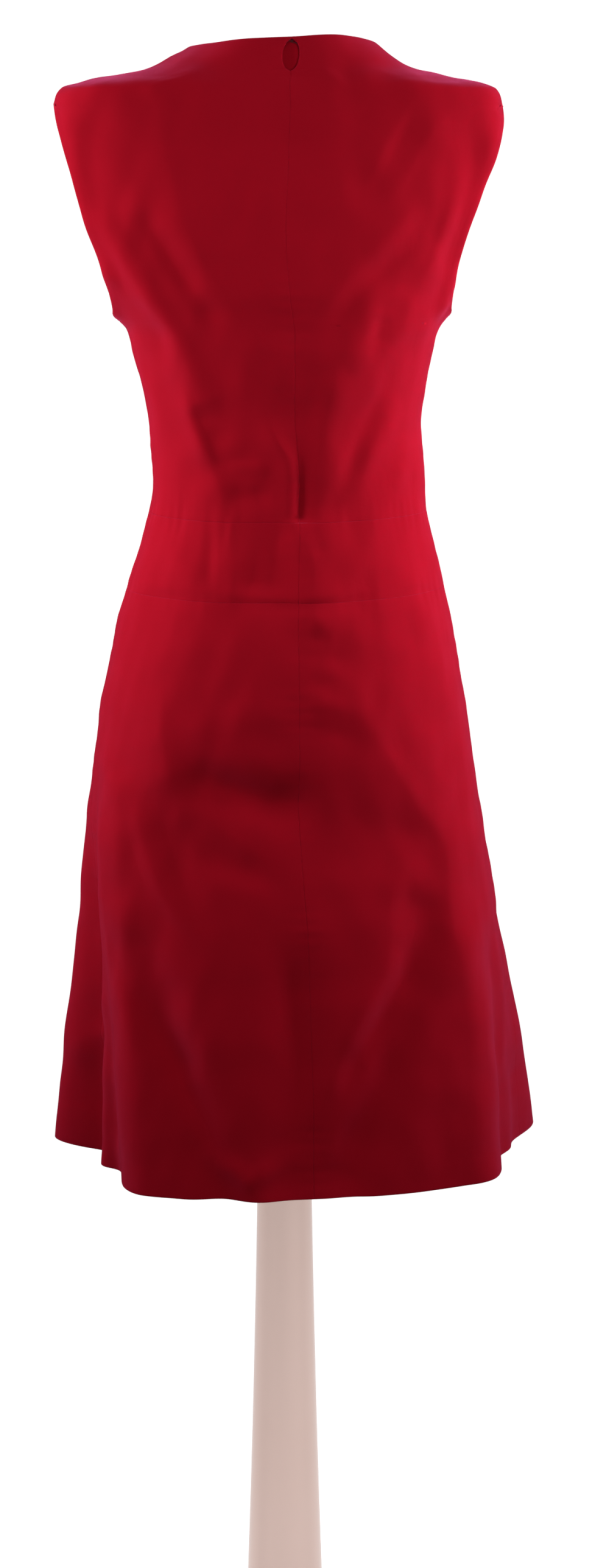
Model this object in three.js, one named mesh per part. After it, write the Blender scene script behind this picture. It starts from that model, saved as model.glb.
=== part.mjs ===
// A sleeveless A-line dress on a limbless dress form, at full size in millimetres, +Z up.
//
// The origin is on the floor under the middle of the base. The front of the dress looks along -Y,
// so its centre-back seam is on the +Y side and the wearer's left is +X. Every piece of cloth is a
// thin wall laid on one body surface: a ring at each height, worked out from a table of sections.
// The folds move that surface in and out, and each cut piece takes its own stretch of it, so that
// pieces always meet at their seams. The form is the same surface again, moved inwards.
import * as THREE from 'three';

// Cloth
const WALL = 2;
const SEAM_GAP = 0.3;

// Heights of the cut lines of the dress
const HEM_Z = 537;
const HIP_SEAM_Z = 1075;
const WAIST_SEAM_Z = 1144;
const UNDERARM_Z = 1316;
const SHOULDER_TIP_Z = 1503;
const LEVEL_NORMAL_Z = 1330;
const NECK_POINT_Z = 1552;
const BACK_NECK_RISE = 9;
const BACK_NECK_BEND = 1.2;
const RIGHT_NECK_LIFT = 5;
const RIGHT_NECK_LIFT_ANGLE = -42;
const FRONT_NECK_DROP = 18;

// Armhole: how far its back and front edges lie from the side line, in degrees round the body
const ARMHOLE_BACK = 26;
const ARMHOLE_FRONT = 33;
const ARMHOLE_ROUNDNESS = 2.3;

// Keyhole above the zip, at the centre back of the neck
const KEYHOLE_TOP_Z = 1559;
const KEYHOLE_HEIGHT = 26;
const KEYHOLE_HALF_WIDTH = 7.5;

// Zip: a narrow tape behind the centre-back seam
const ZIP_HALF_WIDTH = 11;
const ZIP_THICKNESS = 1.2;
const ZIP_BEHIND = 0.85;
const ZIP_BOTTOM_Z = 985;
const ZIP_TOP_Z = 1554;

// Hook and eye, inside the neck edge above the keyhole
const HOOK_WIDTH = 10;
const HOOK_HEIGHT = 4;
const HOOK_THICKNESS = 1.2;
const HOOK_Z = 1558;

// The gap between hard pieces that meet
const TOUCH_GAP = 0.3;

// Form
const FORM_BOTTOM_Z = 840;
const FORM_TOP_Z = 1546;
const FORM_EDGE = 24;
const FORM_LID_RISE = 3;
const FORM_SIDES = 40;
const FORM_ROWS = 22;
const FORM_CROWDING = 1.5;
const ARM_PLANE_Z = 1320;
const ARM_PLANE_X = 139;
const ARM_PLANE_LEAN = 0.241;
const PLATE_CENTRE_Z = 1412;
const PLATE_HALF_HEIGHT = 66;
const PLATE_HALF_WIDTH = 31;
const PLATE_THICKNESS = 3;
const NECK_CAP_HALF_WIDTH = 72;
const NECK_CAP_HALF_DEPTH = 34;
const NECK_CAP_CENTRE_Y = 5;
const NECK_CAP_THICKNESS = 3.4;

// Stand
const BASE_RADIUS = 138;
const BASE_THICKNESS = 16;
const BASE_EDGE = 4;
const COLLAR_RADIUS = 62;
const COLLAR_HEIGHT = 30;
const COLLAR_RIM = 6;
const COLLAR_LIP = 4;
const COLUMN_TOP_RADIUS = 23;
const COLUMN_FLARE = 17;
const COLUMN_FLARE_POWER = 2;
const COLUMN_STEPS = 10;
const FLANGE_RADIUS = 55;
const FLANGE_HEIGHT = 26;
const FLANGE_RIM = 5;
const FLANGE_WALL = 6;
const ROUND_SIDES = 40;

const CLOTH_FINISH = { color: 0xa30f22, roughness: 0.72, metalness: 0 };
const TAPE_FINISH = { color: 0x7c0a18, roughness: 0.8, metalness: 0 };
const HOOK_FINISH = { color: 0x5e0c14, roughness: 0.4, metalness: 0.6 };
const JERSEY_FINISH = { color: 0xcdbba6, roughness: 0.9, metalness: 0 };
const METAL_FINISH = { color: 0xc3aca6, roughness: 0.35, metalness: 0.9 };

// A table is a list of rows with named columns.
function table(columns, rows) {
  return rows.map((row) => Object.fromEntries(columns.map((name, i) => [name, row[i]])));
}

// The body surface of the dress without folds. Squareness 2 is an ellipse, and more is boxier.
const SECTIONS = table(
  ['z', 'halfWidth', 'backDepth', 'frontDepth', 'squareness', 'centreX'],
  [
    [490, 232, 158, 158, 2.25, -11],
    [537, 226, 153, 152, 2.25, -10],
    [640, 212, 147, 144, 2.25, -10],
    [760, 195, 135, 132, 2.25, -7],
    [860, 183, 127, 121, 2.15, -1],
    [940, 172, 122, 113, 2.05, 0],
    [1010, 160, 117, 108, 2.0, 0],
    [1075, 145, 106, 103, 1.95, -1],
    [1144, 126, 89, 95, 1.95, -4],
    [1185, 123, 84, 94, 2.0, -4],
    [1235, 124, 86, 103, 2.05, 0],
    [1296, 137, 94, 119, 2.15, 1],
    [1310, 141, 95, 118, 2.2, 1],
    [1325, 148, 96, 117, 2.2, 3],
    [1345, 158, 97, 115, 2.2, 6],
    [1400, 182, 96, 100, 2.2, 9],
    [1450, 199, 89, 84, 2.2, 6],
    [1482, 203, 83, 71, 2.25, 4],
    [1502, 199, 79, 63, 2.4, 3],
    [1518, 192, 75, 59, 2.6, 3],
    [1523, 177, 73.5, 57, 2.7, 3],
    [1528, 148, 72, 54, 2.7, 2],
    [1535.5, 117, 70, 51, 2.6, 2],
    [1546, 96, 67, 48, 2.5, 1],
    [1555, 83, 64, 46, 2.4, 0],
    [1570, 66, 59, 43, 2.2, 0],
  ],
);

// Folds: each runs from its upper end to its lower end. Angles are in degrees round the body from
// the centre back, positive to the wearer's left. Depth is positive for a ridge that stands out and
// negative for a trough. Width is the distance from the fold's middle to where it has faded by half.
const FOLDS = table(
  ['angleTop', 'zTop', 'angleEnd', 'zEnd', 'widthTop', 'widthEnd', 'depthTop', 'depthEnd'],
  [
    // back bodice
    [38, 1405, 29, 1330, 10, 11, -2, -3],
    [54, 1400, 36, 1215, 12, 14, 3, 4],
    [-62, 1470, -66, 1330, 12, 10, 4, 5],
    [62, 1480, 64, 1360, 12, 10, 3, 4],
    [-7, 1270, -2, 1150, 14, 9, -2, -3],
    [26, 868, -26, 860, 38, 40, -6, -6],
    [73, 1346, 80, 1326, 13, 10, 3, 8],
    [107, 1346, 100, 1326, 13, 10, 3, 8],
    [-73, 1346, -80, 1326, 13, 10, 3, 8],
    [-107, 1346, -100, 1326, 13, 10, 3, 8],
    [28, 914, 3, 895, 17, 19, -8, -9],
    [80, 900, 90, 490, 13, 33, -2, -56],
    [67, 800, 61, 490, 16, 40, -1, -48],
    [60, 900, 40, 490, 14, 20, 4, 4],
    [46, 760, 18, 520, 18, 20, -5, -11],
    [30, 640, 10, 500, 16, 18, 4, 8],
    [2, 720, 4, 560, 22, 22, -6, -7],
    [-34, 790, -8, 560, 18, 20, -5, -11],
    [-48, 760, -42, 500, 24, 28, 3, 7],
    [-68, 850, -65, 490, 16, 36, -1, -28],
    [-78, 800, -86, 490, 18, 24, -1, -15],
    [-100, 800, -110, 490, 24, 26, 2, 20],
    [205, 1180, 214, 1150, 10, 10, -3, -4],
    [150, 1500, 158, 1400, 12, 14, 3, 2],
    [213, 1490, 203, 1410, 12, 14, 3, 2],
    [104, 860, 110, 490, 18, 26, 3, 19],
    [124, 830, 122, 500, 20, 26, -3, -16],
    [150, 800, 146, 500, 22, 28, 3, 10],
    [172, 760, 176, 500, 22, 28, -3, -13],
    [198, 820, 202, 500, 24, 28, 3, 9],
    [228, 840, 232, 500, 22, 27, -3, -15],
    [250, 800, 249, 500, 20, 24, 2, 6],
  ],
);

// How far the form lies inside the cloth. It carries the dress on the tops of the shoulders only.
const FORM_CLEARANCE = table(
  ['z', 'side', 'middle'],
  [
    [820, 16, 26],
    [930, 11, 25],
    [1000, 9, 15],
    [1075, 8, 10],
    [1200, 8, 11],
    [1320, 8, 10],
    [1440, 6, 9],
    [1500, 2.0, 8],
    [1570, 2.0, 7],
  ],
);

const DEGREES = Math.PI / 180;

function mix(a, b, share) {
  return a + (b - a) * share;
}

function clamp(value, low, high) {
  return Math.min(high, Math.max(low, value));
}

// The slope of a column at a row, as the mean of the slopes on both sides.
function slopeAt(rows, column, i) {
  const before = rows[Math.max(i - 1, 0)];
  const after = rows[Math.min(i + 1, rows.length - 1)];
  return (after[column] - before[column]) / (after.z - before.z);
}

// A column's value at any height, on a smooth curve through the rows.
function along(rows, column, z) {
  const height = clamp(z, rows[0].z, rows[rows.length - 1].z);
  let i = 0;
  while (i < rows.length - 2 && rows[i + 1].z < height) {
    i += 1;
  }
  const low = rows[i];
  const high = rows[i + 1];
  const span = high.z - low.z;
  const t = (height - low.z) / span;
  const rise = t * t * (3 - 2 * t);
  const lowBend = t * (1 - t) * (1 - t) * span * slopeAt(rows, column, i);
  const highBend = t * t * (t - 1) * span * slopeAt(rows, column, i + 1);
  return mix(low[column], high[column], rise) + lowBend + highBend;
}

// A point of the body surface at an angle round the body and a height.
function bodyPoint(angle, z) {
  const sin = Math.sin(angle * DEGREES);
  const cos = Math.cos(angle * DEGREES);
  const n = along(SECTIONS, 'squareness', z);
  const reach = (Math.abs(sin) ** n + Math.abs(cos) ** n) ** (-1 / n);
  const back = along(SECTIONS, 'backDepth', z);
  const front = along(SECTIONS, 'frontDepth', z);
  const x = along(SECTIONS, 'centreX', z) + along(SECTIONS, 'halfWidth', z) * reach * sin;
  return new THREE.Vector3(x, (cos > 0 ? back : front) * reach * cos, z);
}

// The direction out of the body surface: level up to the bust, and square to the shoulders above.
function bodyNormal(angle, z) {
  const step = 0.5;
  const round = bodyPoint(angle + step, z).sub(bodyPoint(angle - step, z));
  const up = bodyPoint(angle, z + step).sub(bodyPoint(angle, z - step));
  const normal = up.cross(round).normalize();
  normal.z *= clamp((z - LEVEL_NORMAL_Z) / (SHOULDER_TIP_Z - LEVEL_NORMAL_Z), 0, 1);
  return normal.normalize();
}

// Millimetres round the body for one degree.
function perDegree(angle, z) {
  return bodyPoint(angle + 0.5, z).distanceTo(bodyPoint(angle - 0.5, z));
}

// The signed difference between two angles, from -180 to 180.
function turn(from, to) {
  return ((((to - from) % 360) + 540) % 360) - 180;
}

// How far one fold moves the cloth at a point of the body surface.
function foldAt(fold, angle, z, scale) {
  const across = turn(fold.angleTop, fold.angleEnd) * scale;
  const down = fold.zEnd - fold.zTop;
  const x = turn(fold.angleTop, angle) * scale;
  const y = z - fold.zTop;
  const share = clamp((x * across + y * down) / (across * across + down * down), 0, 1);
  const distance = Math.hypot(x - across * share, y - down * share);
  const width = mix(fold.widthTop, fold.widthEnd, share);
  const depth = mix(fold.depthTop, fold.depthEnd, share);
  return depth * 2 ** -((distance / width) ** 2);
}

function foldDepth(angle, z) {
  const scale = perDegree(angle, z);
  return FOLDS.reduce((sum, fold) => sum + foldAt(fold, angle, z, scale), 0);
}

// A point of the cloth, a distance behind its outer face.
function clothPoint(angle, z, behind) {
  const out = foldDepth(angle, z) - behind;
  return bodyPoint(angle, z).addScaledVector(bodyNormal(angle, z), out);
}

// How far the armhole is open at a height, from 0 to 1.
function armholeOpen(z) {
  const middle = (UNDERARM_Z + SHOULDER_TIP_Z) / 2;
  const half = (SHOULDER_TIP_Z - UNDERARM_Z) / 2;
  const away = clamp(Math.abs(z - middle) / half, 0, 1);
  return (1 - away ** ARMHOLE_ROUNDNESS) ** (1 / ARMHOLE_ROUNDNESS);
}

// How far the two back pieces part at the keyhole, in millimetres from the centre-back line.
function keyholeHalf(z) {
  const middle = KEYHOLE_TOP_Z - KEYHOLE_HEIGHT / 2;
  const away = clamp(Math.abs(z - middle) / (KEYHOLE_HEIGHT / 2), 0, 1);
  return KEYHOLE_HALF_WIDTH * Math.sqrt(1 - away * away);
}

// The neck edge rises to the centre back, most on the wearer's right, and drops to the front.
function neckEdge(angle) {
  const cos = Math.cos(angle * DEGREES);
  const swing = cos > 0 ? BACK_NECK_RISE * cos ** BACK_NECK_BEND : -FRONT_NECK_DROP * cos * cos;
  const lift = RIGHT_NECK_LIFT * 2 ** -((turn(RIGHT_NECK_LIFT_ANGLE, angle) / 24) ** 2);
  return NECK_POINT_Z + swing + lift;
}

// The angle that lies a distance in millimetres to the left of another.
function beside(angle, z, distance) {
  return angle + distance / perDegree(angle, z);
}

// The side edges of the pieces, as angles at each height.
const EDGES = {
  centreBackOfLeft: (z) => beside(0, z, SEAM_GAP / 2 + keyholeHalf(z)),
  centreBackOfRight: (z) => beside(0, z, -SEAM_GAP / 2 - keyholeHalf(z)),
  leftSideOfBack: (z) => beside(90, z, -SEAM_GAP / 2) - ARMHOLE_BACK * armholeOpen(z),
  rightSideOfBack: (z) => beside(-90, z, SEAM_GAP / 2) + ARMHOLE_BACK * armholeOpen(z),
  leftSideOfFront: (z) => beside(90, z, SEAM_GAP / 2) + ARMHOLE_FRONT * armholeOpen(z),
  rightSideOfFront: (z) => beside(270, z, -SEAM_GAP / 2) - ARMHOLE_FRONT * armholeOpen(z),
};

function geometryFrom(points, triangles) {
  const geometry = new THREE.BufferGeometry();
  const numbers = points.flatMap((point) => [point.x, point.y, point.z]);
  geometry.setAttribute('position', new THREE.Float32BufferAttribute(numbers, 3));
  geometry.setIndex(triangles);
  geometry.computeVertexNormals();
  return geometry;
}

// A closed mesh from two grids of points, an outer and an inner one, of rows by columns.
function wallGeometry(outer, inner) {
  const rows = outer.length;
  const columns = outer[0].length;
  const points = [...outer.flat(), ...inner.flat()];
  const triangles = [];
  const at = (side, row, column) => side * rows * columns + row * columns + column;
  const square = (a, b, c, d) => triangles.push(a, b, c, a, c, d);
  for (let r = 0; r < rows - 1; r += 1) {
    for (let c = 0; c < columns - 1; c += 1) {
      square(at(0, r, c), at(0, r + 1, c), at(0, r + 1, c + 1), at(0, r, c + 1));
      square(at(1, r, c), at(1, r, c + 1), at(1, r + 1, c + 1), at(1, r + 1, c));
    }
    square(at(0, r, 0), at(1, r, 0), at(1, r + 1, 0), at(0, r + 1, 0));
    const end = columns - 1;
    square(at(0, r, end), at(0, r + 1, end), at(1, r + 1, end), at(1, r, end));
  }
  for (let c = 0; c < columns - 1; c += 1) {
    square(at(0, 0, c), at(0, 0, c + 1), at(1, 0, c + 1), at(1, 0, c));
    const top = rows - 1;
    square(at(0, top, c), at(1, top, c), at(1, top, c + 1), at(0, top, c + 1));
  }
  return geometryFrom(points, triangles);
}

// One cut piece of cloth, as rows of points at a distance behind its outer face. The rows run from
// the bottom edge to the top edge, closer together towards the top where crowding is more than 1.
function clothRows({ from, to, bottom, top, columns, rows, crowding = 1 }, behind) {
  const lines = [];
  for (let r = 0; r <= rows; r += 1) {
    const line = [];
    const up = 1 - (1 - r / rows) ** crowding;
    for (let c = 0; c <= columns; c += 1) {
      const share = c / columns;
      const high = top(mix(from(bottom), to(bottom), share));
      const z = mix(bottom, high, up);
      line.push(clothPoint(mix(from(z), to(z), share), z, behind));
    }
    lines.push(line);
  }
  return lines;
}

const model = new THREE.Group();

function add(name, geometry, finish) {
  const mesh = new THREE.Mesh(geometry, new THREE.MeshStandardMaterial(finish));
  mesh.name = name;
  model.add(mesh);
  return mesh;
}

// The three levels of the dress, from the hem up, and how finely each is faceted.
const LEVELS = [
  {
    name: 'skirt',
    bottom: HEM_Z,
    top: () => HIP_SEAM_Z - SEAM_GAP / 2,
    rows: 13,
    backColumns: 16,
    frontColumns: 30,
  },
  {
    name: 'midriff',
    bottom: HIP_SEAM_Z + SEAM_GAP / 2,
    top: () => WAIST_SEAM_Z - SEAM_GAP / 2,
    rows: 4,
    backColumns: 10,
    frontColumns: 20,
  },
  {
    name: 'bodice',
    bottom: WAIST_SEAM_Z + SEAM_GAP / 2,
    top: neckEdge,
    rows: 22,
    backColumns: 12,
    frontColumns: 22,
    crowding: 1.6,
  },
];

function cutsOf(level) {
  const back = { ...level, columns: level.backColumns };
  return {
    left: { ...back, from: EDGES.centreBackOfLeft, to: EDGES.leftSideOfBack },
    right: { ...back, from: EDGES.rightSideOfBack, to: EDGES.centreBackOfRight },
    front: {
      ...level,
      columns: level.frontColumns,
      from: EDGES.leftSideOfFront,
      to: EDGES.rightSideOfFront,
    },
  };
}

for (const level of LEVELS) {
  const { left, right, front } = cutsOf(level);
  const wall = (cut) => wallGeometry(clothRows(cut, 0), clothRows(cut, WALL));
  add(`back_${level.name}_left`, wall(left), CLOTH_FINISH);
  add(`back_${level.name}_right`, wall(right), CLOTH_FINISH);
  add(`front_${level.name}`, wall(front), CLOTH_FINISH);
}

// The points across the centre-back seam at every row of the back pieces, from the wearer's right
// to left: a point in the right piece, both seam edges, and a point in the left piece.
function seamRows(reach) {
  return LEVELS.flatMap((level) => {
    const cuts = cutsOf(level);
    const left = clothRows(cuts.left, WALL);
    const right = clothRows(cuts.right, WALL);
    return left.map((leftRow, r) => {
      const rightRow = right[r].slice(-2).reverse();
      const into = (row) => row[0].clone().lerp(row[1], reach / row[0].distanceTo(row[1]));
      return [into(rightRow), rightRow[0], leftRow[0], into(leftRow)];
    });
  });
}

// The zip's tape lies behind that seam. Its points are those of the cloth, moved inwards.
function zipGeometry() {
  const rows = seamRows(ZIP_HALF_WIDTH).filter(([point]) => point.z > ZIP_BOTTOM_Z && point.z < ZIP_TOP_Z);
  const inwards = (distance) =>
    rows.map((row) => row.map((point) => point.clone().setY(point.y - distance)));
  return wallGeometry(inwards(ZIP_BEHIND), inwards(ZIP_BEHIND + ZIP_THICKNESS));
}
add('centre_back_zip', zipGeometry(), TAPE_FINISH);

// The hook and eye is sewn inside the neck edge and holds the two back pieces together there.
function hookGeometry() {
  const bar = new THREE.BoxGeometry(HOOK_WIDTH, HOOK_THICKNESS, HOOK_HEIGHT);
  const inside = clothPoint(0, HOOK_Z + HOOK_HEIGHT / 2, WALL + TOUCH_GAP + HOOK_THICKNESS / 2);
  const lean = Math.atan2(-bodyNormal(0, HOOK_Z).z, bodyNormal(0, HOOK_Z).y);
  return bar.rotateX(-lean).translate(inside.x, inside.y, HOOK_Z);
}
add('neck_hook_and_eye', hookGeometry(), HOOK_FINISH);

// The distance of the plane that cuts off each arm from the middle, at a height.
function armPlane(z) {
  return ARM_PLANE_X + ARM_PLANE_LEAN * (z - ARM_PLANE_Z);
}

// The form is the same body surface moved inwards, cut off at the arms. It comes near the cloth
// only at the tops of the shoulders.
function formPoint(angle, z) {
  const atSide = Math.sin(angle * DEGREES) ** 4;
  const middle = along(FORM_CLEARANCE, 'middle', z);
  const clearance = mix(middle, along(FORM_CLEARANCE, 'side', z), atSide);
  const point = bodyPoint(angle, z).addScaledVector(bodyNormal(angle, z), -WALL - clearance);
  point.x = clamp(point.x, -armPlane(point.z), armPlane(point.z));
  return point;
}

function formRing(z) {
  const ring = [];
  for (let i = 0; i < FORM_SIDES; i += 1) {
    ring.push(formPoint((360 * i) / FORM_SIDES, z));
  }
  return ring;
}

// A ring moved towards the upright axis, and laid level at a height.
function insetRing(ring, inset, z) {
  return ring.map((point) => {
    const share = 1 - inset / Math.hypot(point.x, point.y);
    return new THREE.Vector3(point.x * share, point.y * share, z);
  });
}

// A closed solid from rings of points, the lowest first, with a flat floor and a flat lid.
function ringsGeometry(rings) {
  const around = rings[0].length;
  const points = rings.flat();
  const triangles = [];
  for (let r = 0; r < rings.length - 1; r += 1) {
    for (let i = 0; i < around; i += 1) {
      const next = (i + 1) % around;
      const low = [r * around + i, r * around + next];
      const high = [(r + 1) * around + i, (r + 1) * around + next];
      triangles.push(low[0], high[0], high[1], low[0], high[1], low[1]);
    }
  }
  const lastRing = (rings.length - 1) * around;
  const middleOf = (ring) => {
    const sum = ring.reduce((total, point) => total.add(point), new THREE.Vector3());
    return sum.divideScalar(around);
  };
  const floor = points.push(middleOf(rings[0])) - 1;
  const lid = points.push(middleOf(rings[rings.length - 1])) - 1;
  for (let i = 0; i < around; i += 1) {
    const next = (i + 1) % around;
    triangles.push(floor, i, next, lid, lastRing + next, lastRing + i);
  }
  return geometryFrom(points, triangles);
}

function formGeometry() {
  const body = [];
  for (let r = 0; r <= FORM_ROWS; r += 1) {
    const up = 1 - (1 - r / FORM_ROWS) ** FORM_CROWDING;
    body.push(formRing(mix(FORM_BOTTOM_Z + FORM_EDGE, FORM_TOP_Z, up)));
  }
  const edge = [0, 30, 60].map((turned) => {
    const inset = FORM_EDGE * (1 - Math.sin(turned * DEGREES));
    const rise = FORM_EDGE * (1 - Math.cos(turned * DEGREES));
    return insetRing(body[0], inset, FORM_BOTTOM_Z + rise);
  });
  const lid = insetRing(formRing(FORM_TOP_Z + FORM_LID_RISE), 0, FORM_TOP_Z);
  return ringsGeometry([...edge, ...body, lid]);
}
add('form_torso', formGeometry(), JERSEY_FINISH);

// A flat oval plate, lying level, with its underside at height 0.
function ovalPlate(halfWidth, halfDepth, thickness) {
  const outline = new THREE.Shape();
  outline.absellipse(0, 0, halfWidth, halfDepth, 0, 2 * Math.PI);
  const options = { depth: thickness, bevelEnabled: false, curveSegments: ROUND_SIDES / 2 };
  return new THREE.ExtrudeGeometry(outline, options);
}

const neckCap = ovalPlate(NECK_CAP_HALF_WIDTH, NECK_CAP_HALF_DEPTH, NECK_CAP_THICKNESS);
add('form_neck_cap', neckCap, METAL_FINISH).position.set(
  0,
  NECK_CAP_CENTRE_Y,
  FORM_TOP_Z + TOUCH_GAP,
);

// A plate closes each arm, flat on the leaning plane that cuts the form off there.
for (const [name, side] of [['left', 1], ['right', -1]]) {
  const oval = ovalPlate(PLATE_HALF_HEIGHT, PLATE_HALF_WIDTH, PLATE_THICKNESS);
  const plate = add(`form_arm_plate_${name}`, oval, METAL_FINISH);
  const lean = Math.atan(ARM_PLANE_LEAN);
  plate.rotation.y = side * (Math.PI / 2 + lean);
  const out = new THREE.Vector3(side * Math.cos(lean), 0, -Math.sin(lean));
  plate.position.set(side * armPlane(PLATE_CENTRE_Z), 0, PLATE_CENTRE_Z);
  plate.position.addScaledVector(out, TOUCH_GAP);
}

// A turned piece from its profile: pairs of radius and height, from the axis back to the axis.
function turned(profile) {
  const points = profile.map(([radius, z]) => new THREE.Vector2(radius, z));
  return new THREE.LatheGeometry(points, ROUND_SIDES).rotateX(Math.PI / 2);
}

const base = turned([
  [0, 0],
  [BASE_RADIUS - BASE_EDGE, 0],
  [BASE_RADIUS, BASE_EDGE],
  [BASE_RADIUS, BASE_THICKNESS - BASE_EDGE],
  [BASE_RADIUS - BASE_EDGE, BASE_THICKNESS],
  [0, BASE_THICKNESS],
]);
add('stand_base', base, METAL_FINISH);

// The column's radius at a height: it narrows upwards, quickly near the base and then slowly.
function columnRadius(z) {
  return COLUMN_TOP_RADIUS + COLUMN_FLARE * (1 - z / FORM_BOTTOM_Z) ** COLUMN_FLARE_POWER;
}

const collarBottom = BASE_THICKNESS + TOUCH_GAP;
const collarTop = collarBottom + COLLAR_HEIGHT;
const collar = turned([
  [0, collarBottom],
  [COLLAR_RADIUS, collarBottom],
  [COLLAR_RADIUS - COLLAR_RIM / 2, collarBottom + COLLAR_RIM],
  [columnRadius(collarTop) + 2 * COLLAR_LIP, collarTop - COLLAR_LIP],
  [columnRadius(collarTop) + COLLAR_LIP, collarTop],
  [0, collarTop],
]);
add('stand_collar', collar, METAL_FINISH);

const columnBottom = collarTop + TOUCH_GAP;
const flangeBottom = FORM_BOTTOM_Z - TOUCH_GAP - FLANGE_HEIGHT;
const columnTop = flangeBottom - TOUCH_GAP;
const columnProfile = [[0, columnBottom]];
for (let i = 0; i <= COLUMN_STEPS; i += 1) {
  const z = mix(columnBottom, columnTop, i / COLUMN_STEPS);
  columnProfile.push([columnRadius(z), z]);
}
columnProfile.push([0, columnTop]);
add('stand_column', turned(columnProfile), METAL_FINISH);

const flangeTop = flangeBottom + FLANGE_HEIGHT;
const flange = turned([
  [0, flangeBottom],
  [COLUMN_TOP_RADIUS + FLANGE_WALL, flangeBottom],
  [COLUMN_TOP_RADIUS + FLANGE_WALL, flangeTop - 2 * FLANGE_RIM],
  [FLANGE_RADIUS, flangeTop - FLANGE_RIM],
  [FLANGE_RADIUS, flangeTop],
  [0, flangeTop],
]);
add('stand_flange', flange, METAL_FINISH);

export default model;
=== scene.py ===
# %% [markdown]
# # A red sleeveless dress on its dress form
#
# The dress is one body surface, wrapped in cut pieces of cotton sateen: three for the skirt,
# three for the dropped waist band and three for the bodice. It hangs from the shoulders of a
# padded form on a tapered metal stand. The CAD frame already holds every piece at its real size,
# so this script only gives them their finish: fine cloth with its creases, seams and hems, a zip
# with its coil, a jersey cover and satin metal. It starts by loading that frame.

# %% Load the frame
import math

import bmesh
import bpy
import numpy as np
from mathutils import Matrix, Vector


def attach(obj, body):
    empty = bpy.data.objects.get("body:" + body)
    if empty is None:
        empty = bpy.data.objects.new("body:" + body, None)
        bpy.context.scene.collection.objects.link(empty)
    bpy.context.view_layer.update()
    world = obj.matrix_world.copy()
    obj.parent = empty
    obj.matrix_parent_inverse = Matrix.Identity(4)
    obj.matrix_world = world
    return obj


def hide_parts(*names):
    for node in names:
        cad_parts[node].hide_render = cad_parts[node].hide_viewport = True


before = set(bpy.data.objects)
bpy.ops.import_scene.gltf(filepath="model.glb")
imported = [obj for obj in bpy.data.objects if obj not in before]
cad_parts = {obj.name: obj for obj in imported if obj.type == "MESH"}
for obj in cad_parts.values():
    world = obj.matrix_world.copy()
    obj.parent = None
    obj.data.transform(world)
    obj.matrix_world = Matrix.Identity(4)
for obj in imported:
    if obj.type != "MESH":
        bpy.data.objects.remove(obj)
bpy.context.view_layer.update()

# %% [markdown]
# The dress is seen from behind, from a little to the wearer's left of the centre back, and from
# just below the shoulders' height with the camera tipped down. A long lens was used close by, so
# the hem curves down and the neck curves up. The camera's place on the floor is given as an angle
# and a reach, so that one number walks it round the stand and the other brings it closer.

# %% Camera
CAMERA_REACH = 2.8
CAMERA_TURN = math.radians(6.5)
CAMERA_HEIGHT = 1.51
CAMERA_TIP = math.radians(12.5)
CAMERA_ASIDE = math.radians(0.253)
LENS_MM = 71.1

camera = bpy.data.objects.new("camera", bpy.data.cameras.new("camera"))
camera.data.lens = LENS_MM
camera.location = (
    CAMERA_REACH * math.sin(CAMERA_TURN),
    CAMERA_REACH * math.cos(CAMERA_TURN),
    CAMERA_HEIGHT,
)
camera.rotation_euler = (math.pi / 2 - CAMERA_TIP, 0, math.pi - CAMERA_TURN - CAMERA_ASIDE)
bpy.context.collection.objects.link(camera)
bpy.context.scene.camera = camera
bpy.context.scene.view_settings.view_transform = "Standard"
print("camera at", [round(v, 3) for v in camera.location])

# %% [markdown]
# A product picture stands on a white sweep: a floor that curves up into a wall, so there is no
# corner behind the object. It could be lit until it is white, but then its own light would come
# back on to the dress. So it glows instead, shows only a faint shadow, and lights nothing else.

# %% The white sweep
FLOOR_HALF_WIDTH = 4.0
FLOOR_FRONT = 4.0
FLOOR_DROP = 0.0005
SWEEP_BEHIND = 1.0
SWEEP_RADIUS = 0.8
SWEEP_TOP = 4.0
SWEEP_STEPS = 12
SWEEP_GLOW = 0.85


def node_material(name, **sockets):
    """A new material, with its node tree and its Principled shader.

    The sockets are named with underscores for spaces, and set to plain values."""
    material = bpy.data.materials.new(name)
    material.use_nodes = True
    tree = material.node_tree
    shader = next(n for n in tree.nodes if n.type == "BSDF_PRINCIPLED")
    for socket, value in sockets.items():
        shader.inputs[socket.replace("_", " ")].default_value = value
    return material, tree, shader


def sweep_profile():
    """Points from the floor's front edge to the top of the wall, as (y, z)."""
    points = [(FLOOR_FRONT, 0.0), (-SWEEP_BEHIND, 0.0)]
    for step in range(1, SWEEP_STEPS + 1):
        angle = math.radians(90 * step / SWEEP_STEPS)
        away = -SWEEP_BEHIND - SWEEP_RADIUS * math.sin(angle)
        points.append((away, SWEEP_RADIUS * (1 - math.cos(angle))))
    points.append((-SWEEP_BEHIND - SWEEP_RADIUS, SWEEP_TOP))
    return [(y, z - FLOOR_DROP) for y, z in points]


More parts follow.
